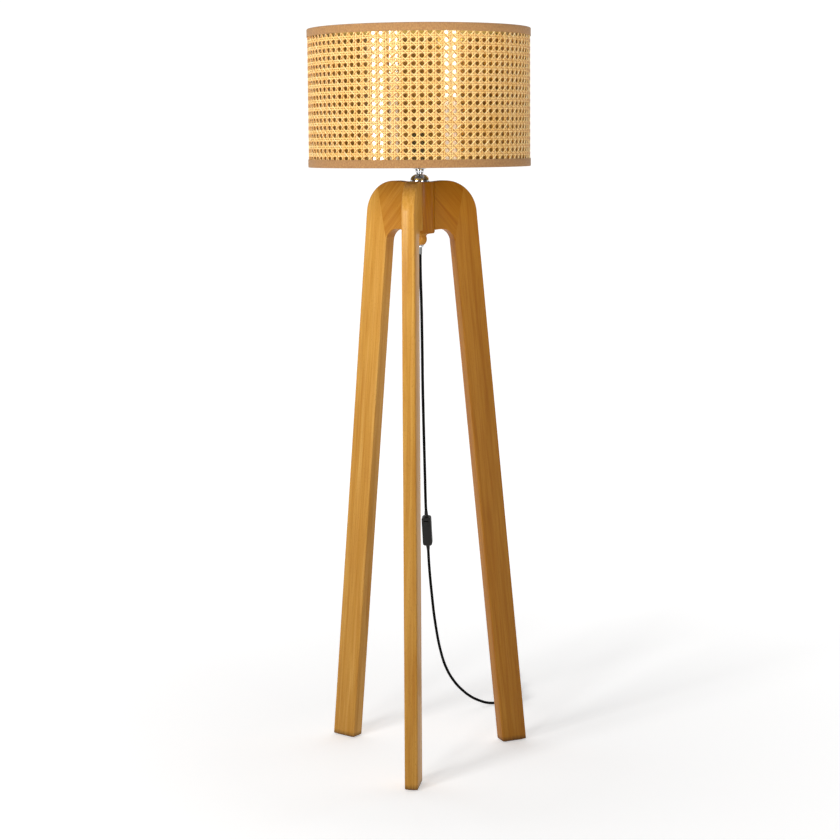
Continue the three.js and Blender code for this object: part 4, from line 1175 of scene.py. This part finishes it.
# %% [markdown]
# Steel wire rings stiffen both rims. Three spokes, welded to the lower ring, carry the flat fitter
# that sits on the lampholder. Rings are torus primitives, and each weld is a small swelling where the
# spoke meets the ring.

# %% Wire rings, spokes and fitter
wire_radius = 2
wire_reach = film_inner - 2.3
for name, height in (("top_wire_ring", 1497.0), ("bottom_wire_ring", 1228.0)):
    ring = begin(f"bent_{name}", bpy.ops.mesh.primitive_torus_add, major_radius=wire_reach * MM,
                 minor_radius=wire_radius * MM, major_segments=drum_steps, minor_segments=12,
                 location=(0, 0, height * MM))
    settle(ring)
    smooth(ring, 60)
    carry(ring, "shade", zinc, "zinc_steel", name)

fitter = turned("flat_fitter", chamfered(ring_bore, 26, 1246.8, 1248.4, 0.3), ring_steps)
carry(fitter, "shade", zinc, "zinc_steel", "fitter_ring")

for number in range(3):
    turn = math.radians(90 + 120 * number)
    start, end = Vector((26.1, 0, 1247.6)), Vector((wire_reach - 1.6, 0, 1228.2))
    fall = math.atan2(start.z - end.z, end.x - start.x)
    spoke = cylinder(f"welded_spoke_{number + 1}", 16, wire_radius, (end - start).length,
                     (start + end) / 2, (0, math.pi / 2 + fall, 0))
    settle(spoke)
    edit(spoke)
    for share in (0.02, 0.97):
        spot = start + (end - start) * share
        bpy.ops.mesh.select_all(action="SELECT")
        bpy.ops.mesh.bisect(plane_co=spot * MM, plane_no=(end - start).normalized())
    pick(spoke, "verts", lambda corner: corner.co.x > 215 * MM)
    bpy.ops.transform.resize(value=(1, 1.35, 1.35))
    leave_edit()
    spoke.rotation_euler.z = turn
    settle(spoke)
    smooth(spoke, 60)
    carry(spoke, "shade", zinc, "zinc_steel", f"spoke_{number + 1}")

# %% [markdown]
# ## Switch
# The switch hangs on the lead, tilted with it. Its two half shells are boxes with rounded corners that
# meet at a fine parting line, hollow inside, with a window for the rocker in the front. They are made
# upright at the origin and then carried to their place, which keeps every cut square.

# %% Half shells of the switch
switch_across = (Vector((1, 0, 0)) - switch_up * switch_up.x).normalized()
switch_back = switch_up.cross(switch_across)
switch_half_width, switch_half_length = 10, 33.25
parting = 0.15
rocker_centre = 20.8
rocker_pivot = -4.9


def to_switch(piece, offset=(0, 0, 0), tilt=0.0):
    """Carries a piece from the switch's own frame, +Z up the lead and the face to -Y, to its place"""
    place = Matrix((switch_across, switch_back, switch_up)).transposed().to_4x4()
    place.translation = switch_centre * MM
    local = Matrix.Translation(Vector(offset) * MM) @ Matrix.Rotation(tilt, 4, "X")
    piece.data.transform(place @ local)
    piece.data.update()


def block(name, low, high):
    """A cube primitive between two corners, in mm"""
    low, high = Vector(low), Vector(high)
    return begin(name, bpy.ops.mesh.primitive_cube_add, size=1, location=(low + high) / 2 * MM,
                 scale=(high - low) * MM)


def half_shell(name, depth, side):
    outer = side * depth
    low = (-switch_half_width, min(side * parting, outer), -switch_half_length)
    high = (switch_half_width, max(side * parting, outer), switch_half_length)
    piece = block(name, low, high)
    settle(piece)
    edit(piece)
    pick(piece, "edges", lambda edge: abs((edge.verts[0].co - edge.verts[1].co).normalized().y) > 0.9)
    bpy.ops.mesh.bevel(offset=5 * MM, segments=8)
    pick(piece, "edges", lambda edge: all(abs(v.co.y - outer * MM) < 0.01 * MM for v in edge.verts)
         and len(edge.link_faces) == 2
         and edge.link_faces[0].normal.dot(edge.link_faces[1].normal) < 0.5)
    bpy.ops.mesh.bevel(offset=1.6 * MM, segments=4)
    leave_edit()
    inner = side * (depth - 2)
    cavity = block("cavity", (-7.5, min(-side, inner), -22), (7.5, max(-side, inner), 26.6))
    settle(cavity)
    cut_away(piece, cavity)
    cut_away(piece, cylinder("channel", 32, 4.5, 80))
    return piece


base = half_shell("back_half_shell", 7.5, 1)
for x, z in ((-6.4, 29.5), (6.4, -29.5)):
    cut_away(base, cylinder("well", 24, 2.7, 6, (x, 7.4, z), (math.pi / 2, 0, 0)))
cover = half_shell("front_half_shell", 8.2, -1)
window = block("window", (-5.1, -12, rocker_centre - 5.05), (5.1, -4, rocker_centre + 5.05))
settle(window)
round_edges(window, 0.8, 3, 40)
cut_away(cover, window)
for piece, name in ((base, "switch_base"), (cover, "switch_cover")):
    smooth(piece, 30)
    to_switch(piece)
    carry(piece, "stand", black_abs, "black_plastic", name)

# %% [markdown]
# The rocker is a small block with a dished face on two stub pins. It starts as a cube, its face is
# split across the middle and pulled in to make the dish, and its edges are rounded.

# %% Rocker and reliefs
rocker = block("rocker_button", (-4.8, -4.9, -4.3), (4.8, 1.8, 4.3))
settle(rocker)
edit(rocker)
bpy.ops.mesh.bisect(plane_co=(0, 0, 0), plane_no=(0, 0, 1))
pick(rocker, "edges", lambda edge: all(abs(v.co.z) < 0.01 * MM and v.co.y < -4 * MM for v in edge.verts))
bpy.ops.transform.translate(value=(0, 0.8 * MM, 0))
pick(rocker, "verts", lambda corner: corner.co.y > 1.7 * MM and abs(corner.co.z) > 1 * MM)
bpy.ops.transform.resize(value=(1, 1, 0.58), center_override=(0, 0, 0))
leave_edit()
round_edges(rocker, 0.35, 3, 25)
pins = cylinder("pins", 24, 1, 12.8, turn=(0, math.pi / 2, 0))
settle(pins)
modify(rocker, "BOOLEAN", object=pins, operation="UNION", solver="EXACT")
bpy.data.objects.remove(pins)
smooth(rocker, 30)
to_switch(rocker, (0, rocker_pivot, rocker_centre), math.radians(7))
carry(rocker, "switch_rocker", black_abs, "black_plastic", "switch_rocker")


def relief_profile():
    """A tapered rubber relief, ringed by grooves that let it bend"""
    section = [[0, 26.25], [4.2, 26.25], [4.2, 34.4]]
    for groove in range(4):
        height = 35.2 + groove * 2.6
        radius = 4.15 - 0.18 * groove
        section += [[radius, height], [radius - 0.55, height + 0.25], [radius - 0.6, height + 0.9],
                    [radius - 0.1, height + 1.2]]
    return section + [[3.45, 45.9], [3.25, 46.25], [0, 46.25]]


for name, side in (("top", 1), ("bottom", -1)):
    relief = turned(f"{name}_relief", [[radius, side * height] for radius, height in relief_profile()], 40)
    to_switch(relief)
    carry(relief, "stand", rubber, "black_rubber", f"switch_relief_{name}")

# %% [markdown]
# ## Hank and plug
# The spare lead is held by a wrapped strap. The plug is a flat two-pin body, narrow at the lead and
# wide at the pins, with a grip waist on both sides.

# %% Tie round the hank


def to_hank(piece):
    place = Matrix.Rotation(hank_turn, 4, "Z")
    place.translation = hank_place * MM
    piece.data.transform(place)
    piece.data.update()


def strap_loop(half_width, low, high, corner):
    middle, reach = (low + high) / 2, (high - low) / 2
    spots = []
    for x, z, start in ((1, -1, -90), (1, 1, 0), (-1, 1, 90), (-1, -1, 180)):
        centre = (x * (half_width - corner), middle + z * (reach - corner))
        spots += arc(centre, corner, start, start + 90, 5)
    return spots


tie_start, tie_width, tie_thickness = 41, 8, 1.2
tie_top = cord_level + waist_lift + (hank_layers - 1) * hank_pitch + cord_radius + 0.3
strap = strap_loop(hank_waist + 4.5, floor_gap, tie_top + tie_thickness, 2.4)
tie = looped("hank_strap", [(x * MM, tie_start * MM, z * MM) for x, z in strap])
edit(tie)
extrude_by((0, tie_width * MM, 0))
leave_edit()
strap_face = tie.data.polygons[0]
strap_middle = Vector((0, tie_start + tie_width / 2, (tie_top + 1.4) / 2)) * MM
faces_out = strap_face.normal.dot(strap_face.center - strap_middle) > 0
modify(tie, "SOLIDIFY", thickness=tie_thickness * MM, offset=-1 if faces_out else 1)
round_edges(tie, 0.3, 2, 50)
smooth(tie, 40)
to_hank(tie)
carry(tie, "stand", black_abs, "black_plastic", "hank_tie")

# %% [markdown]
# The plug's block is scored across at its quarters, and each ring of corners is then scaled by its own
# share, which gives the plug its taper and its waist.

# %% Plug, its relief and its pins
plug_half_width, plug_length, pin_spread = 17.65, 36, 9.3
plug_rear = hank_run + plug_gap + plug_lead + 24.6
plug = block("plug_moulding", (plug_side - plug_half_width, plug_rear, floor_gap),
             (plug_side + plug_half_width, plug_rear + plug_length, floor_gap + plug_thickness))
settle(plug)
edit(plug)
for share in (0.25, 0.5, 0.75):
    bpy.ops.mesh.select_all(action="SELECT")
    bpy.ops.mesh.bisect(plane_co=(0, (plug_rear + plug_length * share) * MM, 0), plane_no=(0, 1, 0))
for share, width in ((0, 0.51), (0.25, 0.66), (0.5, 0.9), (0.75, 1), (1, 0.97)):
    pick(plug, "verts", lambda corner: abs(corner.co.y - (plug_rear + plug_length * share) * MM) < 0.1 * MM)
    bpy.ops.transform.resize(value=(width, 1, 0.93 if share == 0.25 else 1),
                             center_override=(plug_side * MM, 0, plug_level * MM))
leave_edit()
round_edges(plug, 2.6, 5, 50)
smooth(plug, 30)
to_hank(plug)
carry(plug, "stand", black_abs, "black_plastic", "plug_body")

plug_relief_start = plug_rear - 24.3
relief_rings = [[0, 0], [3.2, 0], [3.35, 0.3]]
for groove in range(5):
    height, radius = 2.5 + groove * 4, 3.45 + 0.3 * groove
    relief_rings += [[radius, height], [radius - 0.5, height + 0.5], [radius - 0.45, height + 1.5],
                     [radius + 0.12, height + 2]]
relief_rings += [[5, 23.4], [5, 24], [0, 24]]
plug_relief = turned("plug_sleeve", relief_rings, 40)
plug_relief.data.transform(Matrix.Rotation(-math.pi / 2, 4, "X"))
plug_relief.data.transform(Matrix.Translation(Vector((plug_side, plug_relief_start, plug_level)) * MM))
to_hank(plug_relief)
carry(plug_relief, "stand", rubber, "black_rubber", "plug_relief")

for name, side in (("left", -1), ("right", 1)):
    pin_place = (plug_side + side * pin_spread, plug_rear + 45.8, plug_level)
    pin = cylinder(f"{name}_pin", 24, 2, 19, pin_place, (math.pi / 2, 0, 0))
    settle(pin)
    round_edges(pin, 0.7, 3, 50)
    smooth(pin, 40)
    to_hank(pin)
    carry(pin, "stand", brass, "brass", f"plug_pin_{name}")

# %% [markdown]
# Now that the switch and the plug are there, both stretches of the lead get their finish and their
# body, and the imported nodes that they stand for are hidden.

carry(upper_lead, "stand", sheath, "black_rubber", "cord_to_switch")
carry(lower_lead, "stand", sheath, "black_rubber", "cord_to_hank", "hank", "cord_to_plug")

# %% [markdown]
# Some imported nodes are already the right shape, such as screws, pads and the threaded tube. They stay
# and only get their finish.

# %% Dress the nodes that stay
dress = {
    zinc: ["threaded_tube", "switch_screw_1", "switch_screw_2"]
          + [f"leg_screw_{row}_{side}" for row in ("lower", "upper") for side in boards],
    rubber: [f"foot_pad_{side}" for side in boards],
    brass: ["centre_contact"],
    sheath: ["internal_cord"],
    brown_wire: ["live_wire"],
    blue_wire: ["neutral_wire"],
}
for material, names in dress.items():
    for name in names:
        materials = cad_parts[name].data.materials
        materials.clear()
        materials.append(material)

# %% [markdown]
# ## Studio
# The lamp stands on seamless white paper. Three soft boxes, two left and one right of the camera,
# mirror in the amber film as white strips, a white reflector below two of them makes their lower ends
# beige, and the rest of the light is the bright backdrop itself. The floor glows a little, more so away
# from the lamp, as overexposed paper does, so only the softest shadows stay.

# %% Paper floor
floor = begin("paper_floor", bpy.ops.mesh.primitive_plane_add, size=60)
settle(floor)
paper, tree, surface = finish("white_seamless_paper", Base_Color=colour("F0F0F0"), Roughness=0.9,
                              Specular_IOR_Level=0.1, Emission_Color=colour("FFFFFF"))
spot = node(tree, "VectorMath", {0: node(tree, "TexCoord").outputs["Object"]},
            operation="LENGTH")
lit = node(tree, "MapRange", {"Value": spot.outputs["Value"], "From Min": 0.4, "From Max": 2.2,
                              "To Min": 0.42, "To Max": 0.75})
tree.links.new(lit.outputs[0], surface.inputs["Emission Strength"])
floor.data.materials.append(paper)

# %% [markdown]
# A soft box is a rectangular light that faces the lamp. Its width and height set the width and height
# of the strip that mirrors in the film, and its power sets how bright the strip is.

# %% Soft boxes and reflectors


def soft_box(name, turn, distance, low, high, width, power, spread=180):
    """A light whose turn is its angle to the right of the camera. A grid narrows its spread."""
    light = bpy.data.lights.new(name, "AREA")
    light.shape = "RECTANGLE"
    light.size, light.size_y, light.energy = width, high - low, power
    light.spread = math.radians(spread)
    lamp = bpy.data.objects.new(name, light)
    bpy.context.scene.collection.objects.link(lamp)
    way = -math.pi / 2 + camera_turn + math.radians(turn)
    lamp.location = (distance * math.cos(way), distance * math.sin(way), (low + high) / 2)
    aim = Vector((0, 0, lamp.location.z)) - lamp.location
    lamp.rotation_euler = aim.to_track_quat("-Z", "Y").to_euler()


soft_box("soft_box_left", -43.2, 2.6, 1.2, 2.9, 0.66, 27.5, 120)
soft_box("soft_box_middle", -25, 2.6, 1.51, 2.08, 0.36, 13)
soft_box("soft_box_right", 30.4, 1.3, 1.385, 1.735, 0.34, 1.2, 80)
soft_box("reflector_middle", -25, 2.6, 1.08, 1.51, 0.36, 1.8)
soft_box("reflector_right", 30.4, 1.3, 1.135, 1.385, 0.36, 0.22, 80)

# %% [markdown]
# The room is bright behind the lamp and darker behind the camera, so the film doesn't mirror a white
# wall. The camera itself sees an even white backdrop.

# %% Bright room
room = bpy.data.worlds.new("bright_room")
bpy.context.scene.world = room
room.use_nodes = True
sky = room.node_tree
rays = node(sky, "LightPath")
way = node(sky, "TexCoord").outputs["Generated"]
seen_backdrop = 1.05
backdrop_way = (-math.sin(camera_turn), math.cos(camera_turn), 0)
facing = node(sky, "VectorMath", {0: way, 1: backdrop_way}, operation="DOT_PRODUCT")
glow = node(sky, "MapRange", {"Value": facing.outputs["Value"], "From Min": 0.0, "From Max": 0.55,
                              "To Min": 0.09, "To Max": 0.95})
strength = node(
    sky, "Mix", {"Factor": rays.outputs["Is Camera Ray"], "A": glow.outputs[0], "B": seen_backdrop})
sky.links.new(strength.outputs[0], sky.nodes["Background"].inputs["Strength"])
sky.nodes["Background"].inputs["Color"].default_value = (1, 1, 1, 1)
bpy.context.scene.view_settings.view_transform = "Standard"
